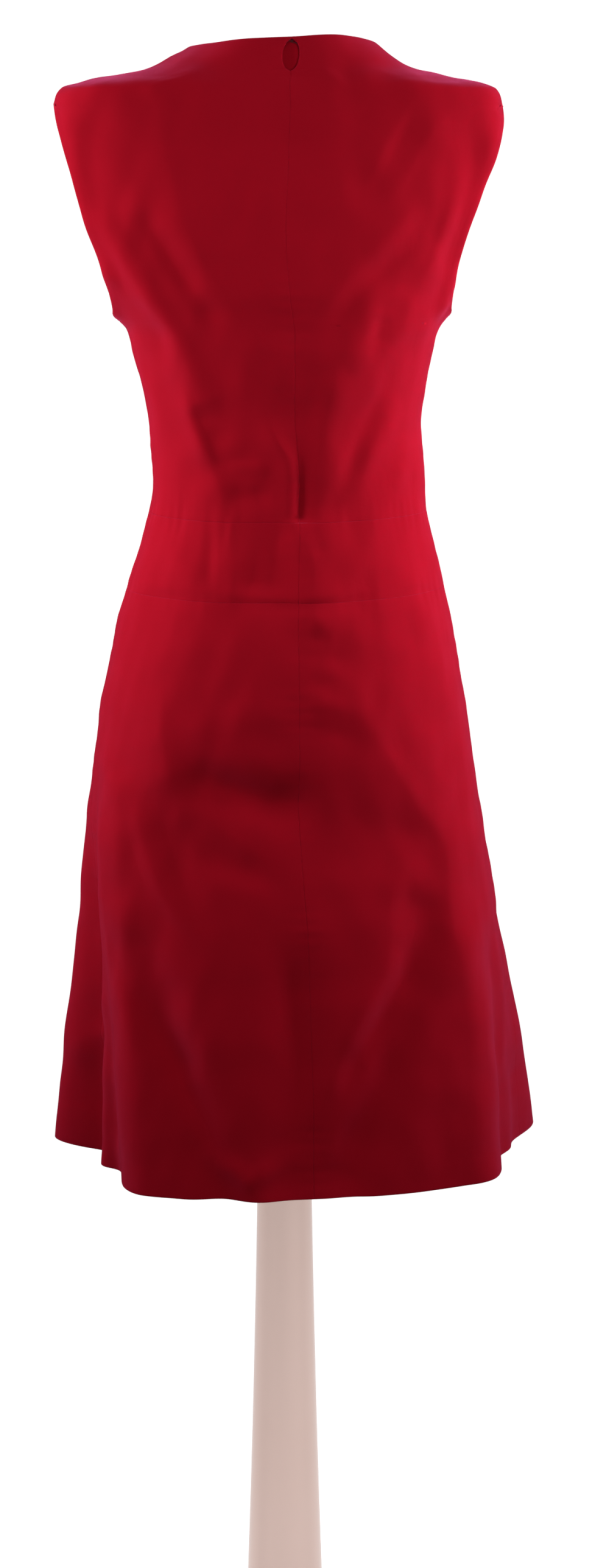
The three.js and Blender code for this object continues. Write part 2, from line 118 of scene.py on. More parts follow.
def add_sweep():
    """The sweep as one strip of faces, the profile's width across."""
    profile = sweep_profile()
    points = [(x, y, z) for x in (-FLOOR_HALF_WIDTH, FLOOR_HALF_WIDTH) for y, z in profile]
    count = len(profile)
    faces = [(i, i + 1, count + i + 1, count + i) for i in range(count - 1)]
    mesh = bpy.data.meshes.new("sweep")
    mesh.from_pydata(points, [], faces)
    mesh.shade_smooth()
    material, _, _ = node_material(
        "white sweep",
        Base_Color=(0.8, 0.8, 0.8, 1),
        Roughness=0.9,
        Specular_IOR_Level=0.0,
        Emission_Color=(1, 1, 1, 1),
        Emission_Strength=SWEEP_GLOW,
    )
    mesh.materials.append(material)
    made = bpy.data.objects.new("sweep", mesh)
    bpy.context.collection.objects.link(made)
    made.visible_diffuse = False
    return made


sweep = add_sweep()
print("the sweep has", len(sweep.data.polygons), "faces")

# %% [markdown]
# Red cloth hides its folds in flat light, so the light comes mostly from the sides. A key light
# stands high beside the camera, with a weak one overhead. Soft boxes at both sides graze the
# cloth, so that every lengthwise fold shows and the middle of the back stays darker than the
# flanks. The right one is much the stronger. On each side a low box carries the light on to the
# skirt, one from behind draws a bright edge, and one with a narrow beam lifts the bodice only.

# %% The lights
WORLD_COLOUR = (1, 0.98, 0.97, 1)
WORLD_STRENGTH = 0.065
WIDE, BARN_DOORS, NARROW = 180, 80, 50
SOFT_BOXES = [
    # name, place, what it points at, size, watts, spread of the beam in degrees
    ("key light", (-0.9, 2.1, 1.6), (0, 0, 1), (0.6, 0.6), 11.0, WIDE),
    ("top light", (0, 1.2, 3.0), (0, 0, 1.2), (0.8, 0.6), 3.6, WIDE),
    ("left fill light", (1.7, 1.3, 1.8), (0, 0, 1.1), (0.5, 0.8), 3.5, WIDE),
    ("left side light", (1.6, -0.1, 1.7), (0, 0, 1.4), (0.4, 0.8), 3.2, WIDE),
    ("left low light", (1.6, -0.1, 1.0), (0, 0, 0.8), (0.4, 0.6), 2.0, WIDE),
    ("left rim light", (1.5, -0.5, 1.6), (0.1, 0, 1.2), (0.5, 0.9), 3.4, BARN_DOORS),
    ("right side light", (-1.6, -0.1, 1.7), (0, 0, 1.4), (0.4, 0.8), 12.0, WIDE),
    ("right low light", (-1.6, -0.1, 1.0), (0, 0, 0.8), (0.4, 0.6), 1.8, WIDE),
    ("right rim light", (-1.5, -0.5, 1.6), (-0.1, 0, 1.2), (0.5, 0.9), 1.5, BARN_DOORS),
    ("left bodice light", (1.3, 0.3, 1.6), (0.1, 0, 1.27), (0.4, 0.4), 1.0, NARROW),
    ("right bodice light", (-1.3, 0.3, 1.6), (-0.1, 0, 1.22), (0.4, 0.4), 1.3, NARROW),
]


def add_soft_box(name, place, aim, size, watts, spread):
    """An area light turned towards what it lights."""
    light = bpy.data.lights.new(name, "AREA")
    light.shape = "RECTANGLE"
    light.size, light.size_y = size
    light.energy = watts
    light.spread = math.radians(spread)
    lamp = bpy.data.objects.new(name, light)
    lamp.location = place
    lamp.rotation_euler = (Vector(aim) - Vector(place)).to_track_quat("-Z", "Y").to_euler()
    bpy.context.collection.objects.link(lamp)


for soft_box in SOFT_BOXES:
    add_soft_box(*soft_box)
world = bpy.data.worlds.new("studio")
bpy.context.scene.world = world
world.use_nodes = True
world.node_tree.nodes["Background"].inputs["Color"].default_value = WORLD_COLOUR
world.node_tree.nodes["Background"].inputs["Strength"].default_value = WORLD_STRENGTH
print("lights:", len(SOFT_BOXES), "soft boxes and a faint room")

# %% [markdown]
# A finish is built from a few nodes, and the same few every time: a noise for what is uneven, a
# remapped range, a mix of two colours and a bump. Each gets a small function, so that a finish
# below reads like a recipe. Values that are the same all over go on the shader's own sockets.

# %% Helpers for the finishes
def add_nodes(tree, *kinds):
    """New nodes of the given kinds."""
    return [tree.nodes.new(kind) for kind in kinds]


def noise(tree, scale, detail, stretch=(1, 1, 1)):
    """A noise texture in the object's own metres."""
    coords, mapping, texture = add_nodes(
        tree, "ShaderNodeTexCoord", "ShaderNodeMapping", "ShaderNodeTexNoise"
    )
    mapping.inputs["Scale"].default_value = stretch
    texture.inputs["Scale"].default_value = scale
    texture.inputs["Detail"].default_value = detail
    tree.links.new(coords.outputs["Object"], mapping.inputs["Vector"])
    tree.links.new(mapping.outputs["Vector"], texture.inputs["Vector"])
    return texture.outputs["Fac"]


def remap(tree, value, low, high):
    """The value moved from 0..1 to low..high."""
    (node,) = add_nodes(tree, "ShaderNodeMapRange")
    node.inputs["To Min"].default_value = low
    node.inputs["To Max"].default_value = high
    tree.links.new(value, node.inputs["Value"])
    return node.outputs["Result"]


def add(tree, first, second):
    """The sum of two sockets."""
    (node,) = add_nodes(tree, "ShaderNodeMath")
    node.operation = "ADD"
    for slot, value in enumerate((first, second)):
        tree.links.new(value, node.inputs[slot])
    return node.outputs["Value"]


def two_colours(tree, share, low, high):
    """A colour between two, by a share."""
    (node,) = add_nodes(tree, "ShaderNodeMix")
    node.data_type = "RGBA"
    node.inputs["A"].default_value = (*low, 1)
    node.inputs["B"].default_value = (*high, 1)
    tree.links.new(share, node.inputs["Factor"])
    return node.outputs["Result"]


def bump(tree, height, strength, distance, below=None):
    """A bump of some depth in metres, on top of another one if that is given."""
    (node,) = add_nodes(tree, "ShaderNodeBump")
    node.inputs["Strength"].default_value = strength
    node.inputs["Distance"].default_value = distance
    tree.links.new(height, node.inputs["Height"])
    if below is not None:
        tree.links.new(below, node.inputs["Normal"])
    return node.outputs["Normal"]


print("helpers for the finishes are ready")

# %% [markdown]
# The cloth is a cotton sateen in cherry red: a close weave, so it is matt at a distance, with a
# pinkish sheen where the surface turns away. The sheen is the shader's own, so it works from any
# side. The weave comes from two crossed wave textures that follow the cloth's own lengths, which
# every piece stores as its UV map in metres. Threads are about half a millimetre apart.

# %% Finish of the cloth
RED_DARK, RED_LIGHT = (0.37, 0.0041, 0.0130), (0.43, 0.0051, 0.0158)
TAPE_DARK, TAPE_LIGHT = (0.38, 0.004, 0.013), (0.44, 0.005, 0.016)
SHEEN_TINT = (1.0, 0.15, 0.4, 1)
THREAD_PITCH = 0.0005
TAPE_THREAD_PITCH = 0.0004
WEFT_TO_WARP = 1.3
ONE_BAND_SCALE = 0.314


def threads(tree, pitch, direction):
    """One set of threads across the UV map, as a wave from 0 to 1."""
    coords, wave = add_nodes(tree, "ShaderNodeUVMap", "ShaderNodeTexWave")
    wave.bands_direction = direction
    wave.inputs["Scale"].default_value = ONE_BAND_SCALE / pitch
    wave.inputs["Distortion"].default_value = 0.6
    wave.inputs["Detail"].default_value = 1.0
    wave.inputs["Detail Scale"].default_value = 0.4
    tree.links.new(coords.outputs["UV"], wave.inputs["Vector"])
    return wave.outputs["Fac"]


def cloth_finish(name, dark, light, pitch, sheen):
    """Woven cloth: two sets of threads, slubs in the yarn and a faint unevenness of the dye."""
    material, tree, shader = node_material(
        name,
        Specular_IOR_Level=0.0,
        Sheen_Weight=sheen,
        Sheen_Roughness=0.4,
        Sheen_Tint=SHEEN_TINT,
    )
    dye = noise(tree, scale=9.0, detail=4.0)
    slubs = noise(tree, scale=900.0, detail=1.0, stretch=(1, 1, 0.12))
    rumples = noise(tree, scale=55.0, detail=3.0, stretch=(1, 1, 0.6))
    share = add(tree, remap(tree, dye, 0.1, 0.75), remap(tree, slubs, -0.12, 0.12))
    tree.links.new(two_colours(tree, share, dark, light), shader.inputs["Base Color"])
    tree.links.new(remap(tree, slubs, 0.56, 0.68), shader.inputs["Roughness"])
    weave = add(tree, threads(tree, pitch, "X"), threads(tree, pitch * WEFT_TO_WARP, "Y"))
    woven = bump(tree, weave, strength=0.22, distance=0.00012)
    creased = bump(tree, rumples, strength=0.35, distance=0.0012, below=woven)
    tree.links.new(creased, shader.inputs["Normal"])
    return material


dress_cloth = cloth_finish("red cotton sateen", RED_DARK, RED_LIGHT, THREAD_PITCH, sheen=0.5)
zip_cloth = cloth_finish("zip tape", TAPE_DARK, TAPE_LIGHT, TAPE_THREAD_PITCH, sheen=0.3)
print("cloth finishes:", dress_cloth.name, "and", zip_cloth.name)

# %% [markdown]
# The whole dress lies on one body surface. At each height it is a ring with a half width, a depth
# to the back, a depth to the front and a squareness, where 2 is an ellipse and more is boxier.
# A short table gives the rings that matter, from under the hem to above the neck, and a smooth
# curve runs between them. Lengths here are millimetres, as a dressmaker has them.

# %% Rings of the body
MM = 0.001


def table(columns, rows):
    """Named columns of numbers from rows."""
    return {name: np.array(values, float) for name, values in zip(columns, zip(*rows))}


SECTIONS = table(
    ("z", "half_width", "back", "front", "squareness", "centre_x"),
    [
        (490, 232, 158, 158, 2.25, -11),
        (537, 226, 153, 152, 2.25, -10),
        (640, 212, 147, 144, 2.25, -10),
        (760, 195, 135, 132, 2.25, -7),
        (860, 183, 127, 121, 2.15, -1),
        (940, 172, 122, 113, 2.05, 0),
        (1010, 160, 117, 108, 2.0, 0),
        (1075, 145, 106, 103, 1.95, -1),
        (1144, 126, 89, 95, 1.95, -4),
        (1185, 123, 84, 94, 2.0, -4),
        (1235, 124, 86, 103, 2.05, 0),
        (1296, 137, 94, 119, 2.15, 1),
        (1310, 141, 95, 118, 2.2, 1),
        (1325, 148, 96, 117, 2.2, 3),
        (1345, 158, 97, 115, 2.2, 6),
        (1400, 182, 96, 100, 2.2, 9),
        (1450, 199, 89, 84, 2.2, 6),
        (1482, 203, 83, 71, 2.25, 4),
        (1502, 199, 79, 63, 2.4, 3),
        (1518, 192, 75, 59, 2.6, 3),
        (1523, 177, 73.5, 57, 2.7, 3),
        (1528, 148, 72, 54, 2.7, 2),
        (1535.5, 117, 70, 51, 2.6, 2),
        (1546, 96, 67, 48, 2.5, 1),
        (1555, 83, 64, 46, 2.4, 0),
        (1570, 66, 59, 43, 2.2, 0),
    ],
)


def along(rows, column, z):
    """A column's value at any height, on a smooth curve through the rows."""
    heights, values = rows["z"], rows[column]
    last = len(heights) - 1
    before = np.maximum(np.arange(last + 1) - 1, 0)
    after = np.minimum(np.arange(last + 1) + 1, last)
    slopes = (values[after] - values[before]) / (heights[after] - heights[before])
    z = np.clip(z, heights[0], heights[-1])
    i = np.clip(np.searchsorted(heights, z) - 1, 0, last - 1)
    span = heights[i + 1] - heights[i]
    t = (z - heights[i]) / span
    bend = t * (1 - t) ** 2 * slopes[i] - t * t * (1 - t) * slopes[i + 1]
    return values[i] + (values[i + 1] - values[i]) * t * t * (3 - 2 * t) + bend * span


print("the body is", round(2 * float(along(SECTIONS, "half_width", 1180))), "mm wide at the waist")

# %% [markdown]
# A place on the body is an angle, from the centre back towards the wearer's left, and a height.
# The cloth moves out from there. Up to the bust that is level, so skirt folds stay upright, and
# above it turns by and by until it is square to the shoulders.

# %% Places on the body
LEVEL_NORMAL_Z = 1330
SHOULDER_TIP_Z = 1503


def body_point(angle, z):
    """Points of the body surface at angles round the body, from the centre back, and heights."""
    sin, cos = np.sin(np.radians(angle)), np.cos(np.radians(angle))
    n = along(SECTIONS, "squareness", z)
    reach = (np.abs(sin) ** n + np.abs(cos) ** n) ** (-1 / n)
    depth = np.where(cos > 0, along(SECTIONS, "back", z), along(SECTIONS, "front", z))
    x = along(SECTIONS, "centre_x", z) + along(SECTIONS, "half_width", z) * reach * sin
    return np.stack(np.broadcast_arrays(x, depth * reach * cos, z), axis=-1)


def unit(vectors):
    """The same directions, one long."""
    return vectors / np.linalg.norm(vectors, axis=-1, keepdims=True)


def body_normal(angle, z):
    """The way out of the body surface: level up to the bust, and square to the shoulders above."""
    round_it = body_point(angle + 0.5, z) - body_point(angle - 0.5, z)
    up = body_point(angle, z + 0.5) - body_point(angle, z - 0.5)
    normal = unit(np.cross(up, round_it))
    tilt = np.clip((z - LEVEL_NORMAL_Z) / (SHOULDER_TIP_Z - LEVEL_NORMAL_Z), 0, 1)
    normal[..., 2] *= tilt
    return unit(normal)


def per_degree(angle, z):
    """Millimetres round the body for one degree."""
    return np.linalg.norm(body_point(angle + 0.5, z) - body_point(angle - 0.5, z), axis=-1)


def turn(start, end):
    """The signed difference between two angles, from -180 to 180."""
    return ((end - start) % 360 + 540) % 360 - 180


print("waist round about", round(float(per_degree(np.arange(0, 360), np.full(360, 1180)).sum())), "mm")

# %% [markdown]
# Cloth creases for a reason. The bodice pulls from the shoulders and bust towards the small of
# the back, the band sits tight over the hips, and the skirt falls from the hips in folds that
# grow towards the hem. A cloth simulation would fold it somewhere else, so each fold is given one
# by one: a soft ridge or trough along a route of two or more places. It may be steeper on one side,
# have a keen crest as a pressed pleat has, and fade out at its ends.

# %% The shape of a fold
CREST_RADIUS = 1.5
END_DEPTH = 0.25
ROUTE_MM_PER_DEGREE = 2.5


def fold_height(route, widths, depths, lean, shape, angle, z):
    """How far one fold moves the cloth. A positive lean makes the side to the right of its route,
    for one who walks along it with the cloth underfoot, wider than the other. Its shape is a power,
    where 2 is round and less is a keener crest, and the share of the route over which each end
    grows from a part of its depth."""
    power, fade = shape
    scale = per_degree(angle, z)
    pairs = list(zip(route, route[1:]))
    legs = [math.hypot(turn(a[0], b[0]) * ROUTE_MM_PER_DEGREE, b[1] - a[1]) for a, b in pairs]
    crest = CREST_RADIUS if power < 2 else 0
    nearest = np.full(np.shape(angle), np.inf)
    height = np.zeros(np.shape(angle))
    done = 0.0
    for (start, end), leg in zip(pairs, legs):
        across, up = turn(start[0], end[0]) * scale, end[1] - start[1]
        x, y = turn(start[0], angle) * scale, z - start[1]
        length = np.hypot(across, up)
        share = np.clip((x * across + y * up) / length**2, 0, 1)
        off_x, off_y = x - across * share, y - up * share
        distance = np.hypot(off_x, off_y)
        total = (done + leg * share) / sum(legs)
        width = widths[0] + (widths[1] - widths[0]) * total
        side = (across * off_y - up * off_x) / (length * np.maximum(distance, 1e-6))
        here = depths[0] + (depths[1] - depths[0]) * total
        if fade:
            grown = np.clip(np.minimum(total, 1 - total) / fade, 0, 1)
            here = here * (END_DEPTH + (1 - END_DEPTH) * grown * grown * (3 - 2 * grown))
        off_crest = np.hypot(distance, crest) - crest
        here = here * 2.0 ** -((off_crest / (width * (1 + lean * side))) ** power)
        height = np.where(distance < nearest, here, height)
        nearest = np.minimum(nearest, distance)
        done += leg
    return height


sample = fold_height([(0, 900), (0, 700)], (20, 20), (5, 5), 0, (2, 0), np.array([0, 10.0]), 800)
print("a fold 5 mm deep is", [round(float(v), 1) for v in sample], "mm high at 0 and 10 degrees")

# %% [markdown]
# The broad folds come first. They are those of the CAD solids, number for number, so that the
# cloth that is seen lies on the cloth that is touched. Those of the skirt grow towards the hem.

# %% Broad folds
BROAD_SHAPE = (2, 0)
BROAD_FOLDS = [
    # angle and height at the top and at the end, width at both, depth at both
    (38, 1405, 29, 1330, 10, 11, -2, -3),
    (54, 1400, 36, 1215, 12, 14, 3, 4),
    (-62, 1470, -66, 1330, 12, 10, 4, 5),
    (62, 1480, 64, 1360, 12, 10, 3, 4),
    (-7, 1270, -2, 1150, 14, 9, -2, -3),
    (26, 868, -26, 860, 38, 40, -6, -6),
    (73, 1346, 80, 1326, 13, 10, 3, 8),
    (107, 1346, 100, 1326, 13, 10, 3, 8),
    (-73, 1346, -80, 1326, 13, 10, 3, 8),
    (-107, 1346, -100, 1326, 13, 10, 3, 8),
    (28, 914, 3, 895, 17, 19, -8, -9),
    (80, 900, 90, 490, 13, 33, -2, -56),
    (67, 800, 61, 490, 16, 40, -1, -48),
    (60, 900, 40, 490, 14, 20, 4, 4),
    (46, 760, 18, 520, 18, 20, -5, -11),
    (30, 640, 10, 500, 16, 18, 4, 8),
    (2, 720, 4, 560, 22, 22, -6, -7),
    (-34, 790, -8, 560, 18, 20, -5, -11),
    (-48, 760, -42, 500, 24, 28, 3, 7),
    (-68, 850, -65, 490, 16, 36, -1, -28),
    (-78, 800, -86, 490, 18, 24, -1, -15),
    (-100, 800, -110, 490, 24, 26, 2, 20),
    (205, 1180, 214, 1150, 10, 10, -3, -4),
    (150, 1500, 158, 1400, 12, 14, 3, 2),
    (213, 1490, 203, 1410, 12, 14, 3, 2),
    (104, 860, 110, 490, 18, 26, 3, 19),
    (124, 830, 122, 500, 20, 26, -3, -16),
    (150, 800, 146, 500, 22, 28, 3, 10),
    (172, 760, 176, 500, 22, 28, -3, -13),
    (198, 820, 202, 500, 24, 28, 3, 9),
    (228, 840, 232, 500, 22, 27, -3, -15),
    (250, 800, 249, 500, 20, 24, 2, 6),
]


def broad_height(angle, z):
    """How far the broad folds move the cloth out."""
    total = np.zeros(np.shape(angle))
    for top_angle, top_z, end_angle, end_z, top_w, end_w, top_d, end_d in BROAD_FOLDS:
        route = [(top_angle, top_z), (end_angle, end_z)]
        total += fold_height(route, (top_w, end_w), (top_d, end_d), 0, BROAD_SHAPE, angle, z)
    return total


print("broad folds:", len(BROAD_FOLDS))

# %% [markdown]
# Some folds have a keen crest: the pleat that the centre-back seam pulls in at the waist, and the
# long drag lines from the hips and shoulders that run towards it. With a power under 2 their
# sides fall away at once from the crest, and light and dark meet there in a line.

# %% Pleats and keen crests
PLEAT_POWER = 1.35
PLEATS = [
    # route of (angle, height), widths, depths, lean, share of the route that fades
    ([(0, 1222), (0, 1180), (-0.5, 1142)], (5, 5), (-0.5, -6.0), 0, 0.1),
    ([(13, 1240), (8, 1215), (4, 1200), (3, 1165), (3, 1135)], (6, 6), (3.2, 3.0), 0.2, 0.3),
    ([(-17, 1310), (-14, 1245), (-11, 1212), (-6, 1180), (-2, 1140)], (20, 18), (4.5, 6.0), -0.1, 0.3),
    ([(38, 1195), (29, 1140), (25, 1110), (23, 1060)], (15, 14), (3.2, 4.0), 0.45, 0.25),
    ([(-5, 1160), (-6, 1110), (-6, 1079), (-7, 1030)], (20, 20), (3.5, 4.0), -0.5, 0.35),
    ([(48, 1010), (43, 945), (36, 890)], (15, 15), (2.8, 3.4), 0.2, 0.3),
    (
        [(-16, 995), (-31, 920), (-39, 880), (-46, 850), (-45, 826), (-42, 780), (-44, 700)],
        (19, 19),
        (3.6, 4.0),
        0,
        0.2,
    ),
    ([(35, 1530), (31, 1470), (28, 1420), (25, 1370), (19, 1325)], (17, 17), (2.9, 2.9), 0.4, 0.3),
    ([(70, 920), (65, 810), (61, 710), (55, 620), (51, 530)], (13, 15), (3.0, 5.5), 0, 0.2),
]


def pleat_height(angle, z):
    """How far the pleats move the cloth out."""
    total = np.zeros(np.shape(angle))
    for route, widths, depths, lean, fade in PLEATS:
        total += fold_height(route, widths, depths, lean, (PLEAT_POWER, fade), angle, z)
    return total


print("pleats and keen crests:", len(PLEATS))

# %% [markdown]
# The finer creases follow. They are listed one by one too, as uneven in length, depth and spacing as
# cloth really is. The front has its own, of the same kinds.

# %% Fine creases
FINE_SHAPE = (2, 0.35)
FINE_CREASES = [
    # route of (angle, height), widths, depths, lean
    # drag lines of the left back bodice, from the shoulder to the small of the back
    ([(38, 1525), (27, 1500)], (7, 6), (1.4, 1.2), 0),
    ([(37, 1400), (34, 1370), (29, 1342)], (10, 10), (-2.0, -2.2), -0.3),
    ([(52, 1410), (46, 1370), (46, 1320), (40, 1280)], (13, 12), (2.0, 2.2), 0.2),
    ([(50, 1270), (44, 1245), (39, 1205), (36, 1180)], (10, 9), (2.4, 2.4), 0.3),
    ([(42, 1250), (38, 1226), (33, 1200)], (11, 10), (-4.4, -3.6), -0.4),
    ([(31, 1192), (10, 1192)], (5, 5), (1.3, 1.1), 0),
    ([(33, 1165), (10, 1169)], (8, 8), (-2.4, -2.6), 0),
    # drag lines of the right back bodice
    ([(-17, 1537), (-7, 1503)], (7, 7), (2.0, 1.6), 0),
    ([(-36, 1530), (-26, 1485), (-20, 1435)], (6, 7), (0.8, 0.9), 0),
    ([(-32, 1508), (-26, 1460), (-21, 1420)], (5, 6), (-0.4, -0.5), 0),
    ([(-40, 1505), (-32, 1455), (-25, 1405)], (6, 8), (0.7, 1.1), 0),
    ([(-42, 1422), (-32, 1402), (-21, 1370), (-12, 1340), (-8, 1320)], (11, 12), (2.4, 2.6), 0),
    ([(-40, 1384), (-27, 1358), (-16, 1326)], (9, 10), (-1.6, -1.6), 0.2),
    ([(-50, 1440), (-50, 1390), (-48, 1350)], (9, 9), (2.0, 2.0), -0.2),
    ([(-29, 1340), (-21, 1310), (-18, 1270)], (13, 13), (2.4, 2.8), -0.3),
    ([(-43, 1350), (-41, 1290)], (8, 8), (1.4, 1.2), 0),
    ([(-32, 1327), (-31, 1296)], (8, 8), (-1.8, -1.8), 0),
    ([(-43, 1295), (-37, 1255), (-29, 1215), (-20, 1182), (-12, 1152)], (9, 8), (-1.8, -2.0), 0),
    ([(-52, 1250), (-42, 1226), (-30, 1198), (-19, 1168)], (10, 9), (1.8, 1.8), 0),
    ([(-52, 1194), (-46, 1166)], (8, 8), (1.2, 1.2), 0),
    # the waist band, pulled between its seams
    ([(64, 1130), (50, 1110), (36, 1090)], (10, 9), (1.2, 1.2), 0),
    ([(38, 1141), (33, 1082)], (5, 5), (-1.1, -1.3), 0),
    ([(6, 1175), (5, 1110), (4, 1055)], (18, 18), (-2.4, -2.4), 0.6),
    ([(24, 1096), (3, 1091)], (24, 24), (-5.0, -5.0), -0.6),
    ([(7, 1132), (4, 1112)], (6, 6), (1.3, 1.1), 0),
    ([(-4, 1142), (-8, 1110)], (7, 7), (-1.6, -1.4), 0),
    # the hip seam, drawn in
    ([(78, 1078), (34, 1077)], (5, 5), (-0.8, -1.6), 0.4),
    ([(36, 1078), (15, 1075), (0, 1074), (-19, 1076), (-34, 1078)], (5, 5), (-2.0, -1.8), 0.4),
    ([(-32, 1077), (-78, 1078)], (5, 5), (-1.2, -0.8), 0.4),
    ([(-3, 1062), (-11, 1056)], (6, 6), (1.1, 0.9), 0),
    ([(-3, 1046), (-11, 1040)], (7, 7), (-1.4, -1.1), 0),
    # the seat
    ([(28, 968), (14, 982), (2, 970)], (14, 14), (1.8, 1.6), 0),
    ([(30, 914), (20, 902), (10, 896), (0, 894)], (12, 12), (-3.4, -3.6), 0),
    ([(30, 888), (18, 862), (6, 832)], (9, 9), (1.3, 1.3), 0),
    ([(34, 860), (18, 840), (6, 826)], (12, 12), (-3.2, -3.4), 0),
    ([(-2, 992), (-17, 980)], (8, 7), (1.5, 1.2), 0),
    # the left flank of the skirt
    ([(90, 880), (96, 690)], (13, 15), (-4.0, -5.0), 0),
    ([(72, 695), (96, 640), (103, 596)], (9, 9), (3.2, 3.0), 0),
    ([(94, 640), (94, 560)], (12, 13), (-3.5, -3.5), 0),
    ([(55, 916), (46, 850), (37, 800), (27, 773)], (8, 8), (2.2, 2.0), 0),
    ([(44, 897), (39, 865), (33, 820), (29, 793)], (10, 10), (-2.8, -2.6), -0.2),
    ([(56, 755), (44, 700), (34, 650), (26, 605), (19, 566)], (14, 13), (-5.5, -8.0), -0.3),
    ([(24, 576), (15, 558), (6, 574)], (9, 9), (4.5, 4.0), 0),
    # the middle and the right flank of the skirt
    ([(7, 785), (4, 705), (2, 660), (5, 595)], (17, 15), (-6.0, -6.5), 0),
    ([(-26, 765), (-14, 710), (-4, 645), (3, 582)], (15, 15), (4.0, 4.0), 0),
    ([(-35, 770), (-24, 725), (-11, 665), (-1, 600)], (13, 12), (-5.0, -5.5), 0.2),
    ([(-31, 872), (-28, 830), (-22, 793)], (10, 9), (1.4, 1.2), 0),
    ([(-60, 880), (-74, 705), (-88, 625)], (15, 17), (3.2, 4.4), 0),
    # puckers across the seat, right of the centre-back seam
    ([(-2, 1030), (-17, 1024)], (7, 8), (-1.1, -0.8), 0),
    ([(-2, 1008), (-13, 1003)], (7, 7), (-1.1, -0.8), 0),
    ([(-2, 966), (-16, 957)], (7, 8), (-1.1, -0.8), 0),
    # the front, of the same kinds
    ([(118, 1520), (138, 1440), (150, 1380)], (9, 12), (1.8, 1.2), 0.2),
    ([(242, 1518), (224, 1450), (212, 1390)], (10, 12), (1.6, 1.4), 0),
    ([(112, 1330), (132, 1345), (148, 1340)], (7, 9), (-2.2, -1.2), 0),
    ([(249, 1328), (230, 1342), (216, 1340)], (7, 9), (-2.4, -1.0), 0),
    ([(122, 1290), (138, 1230), (150, 1180)], (9, 8), (-1.8, -2.0), 0.2),
    ([(238, 1285), (222, 1225), (214, 1175)], (9, 8), (-1.6, -2.2), 0),
    ([(160, 1210), (172, 1196), (186, 1200)], (6, 6), (-1.2, -1.0), 0),
    ([(196, 1178), (208, 1170), (220, 1174)], (5, 6), (-1.4, -1.0), 0),
    ([(140, 1130), (158, 1118), (170, 1122)], (6, 6), (-1.2, -0.8), 0),
    ([(205, 1110), (222, 1098)], (6, 6), (-1.0, -1.2), 0),
    ([(118, 1050), (140, 1010), (160, 1002)], (9, 10), (-1.8, -1.2), 0),
    ([(240, 1046), (222, 1012), (204, 1006)], (9, 10), (-1.6, -1.2), 0),
    ([(134, 900), (138, 740), (134, 600)], (12, 14), (2.0, 4.0), 0.3),
    ([(162, 840), (160, 700), (164, 560)], (12, 14), (-1.6, -3.4), 0),
    ([(187, 900), (190, 760), (187, 600)], (12, 13), (1.8, 3.2), -0.3),
    ([(214, 860), (216, 720), (212, 580)], (12, 14), (-1.8, -3.0), 0),
    ([(240, 920), (243, 760), (240, 620)], (11, 13), (1.8, 3.4), 0.2),
    ([(262, 900), (265, 760), (262, 640)], (11, 12), (-1.6, -2.6), 0),
]


def fine_height(angle, z):
    """How far the fine creases move the cloth out."""
    total = np.zeros(np.shape(angle))
    for route, widths, depths, lean in FINE_CREASES:
        total += fold_height(route, widths, depths, lean, FINE_SHAPE, angle, z)
    return total


print("fine creases:", len(FINE_CREASES))

# %% [markdown]
# No cloth is quite even between its folds. That last unevenness is a sum of waves in all
# directions. They are drawn at random but from a fixed seed, so every run gives the same dress.

# %% Small wrinkles
WRINKLE_SEED = 7
WRINKLE_WAVES = 26
WRINKLE_HEIGHT = 0.12
WRINKLE_TYPICAL = 40
WRINKLE_LONGEST = 75
WRINKLE_SHORTEST = 20
WRINKLE_UPRIGHT = 0.55
generator = np.random.default_rng(WRINKLE_SEED)
wave_lengths = generator.uniform(WRINKLE_SHORTEST, WRINKLE_LONGEST, WRINKLE_WAVES)
wave_ways = unit(generator.normal(size=(WRINKLE_WAVES, 3)) * (1, 1, WRINKLE_UPRIGHT))
wave_starts = generator.uniform(0, 2 * math.pi, WRINKLE_WAVES)


def wrinkle_height(points):
    """The small unevenness; a wave of the typical length has the named height."""
    total = np.zeros(points.shape[:-1])
    for length, way, start in zip(wave_lengths, wave_ways, wave_starts):
        phase = points @ way * 2 * math.pi / length + start
        total += WRINKLE_HEIGHT * length / WRINKLE_TYPICAL * np.sin(phase)
    return total


def drape(angle, z):
    """How far folds, creases and wrinkles together move the cloth out at a place."""
    fine = fine_height(angle, z) + pleat_height(angle, z)
    return broad_height(angle, z) + fine + wrinkle_height(body_point(angle, z))


print("small wrinkles:", WRINKLE_WAVES, "waves of", WRINKLE_SHORTEST, "to", WRINKLE_LONGEST, "mm")

# %% [markdown]
# Next come the pieces as they are cut. Each is a stretch of the body surface between two side
# edges and two level edges. The armhole takes a bite out of the side edges of the bodice, the
# neck edge is its top, and the two back pieces part at a small keyhole above the zip. A real
# seam is where two pieces roll in to meet, and a real hem or neck edge is turned under.

# %% Edges of the cut pieces
HEM_Z = 537
HIP_SEAM_Z = 1075
WAIST_SEAM_Z = 1144
UNDERARM_Z = 1316
ARMHOLE_BACK = 26
ARMHOLE_FRONT = 33
ARMHOLE_ROUNDNESS = 2.3
NECK_Z = 1552
NECK_BACK_RISE = 9
NECK_BACK_POWER = 1.2
NECK_FRONT_DROP = 18
NECK_SIDE_RISE = 5
NECK_SIDE_ANGLE = -42
NECK_SIDE_WIDTH = 24
KEYHOLE_TOP_Z = 1559
KEYHOLE_HEIGHT = 26
KEYHOLE_HALF_WIDTH = 7.5


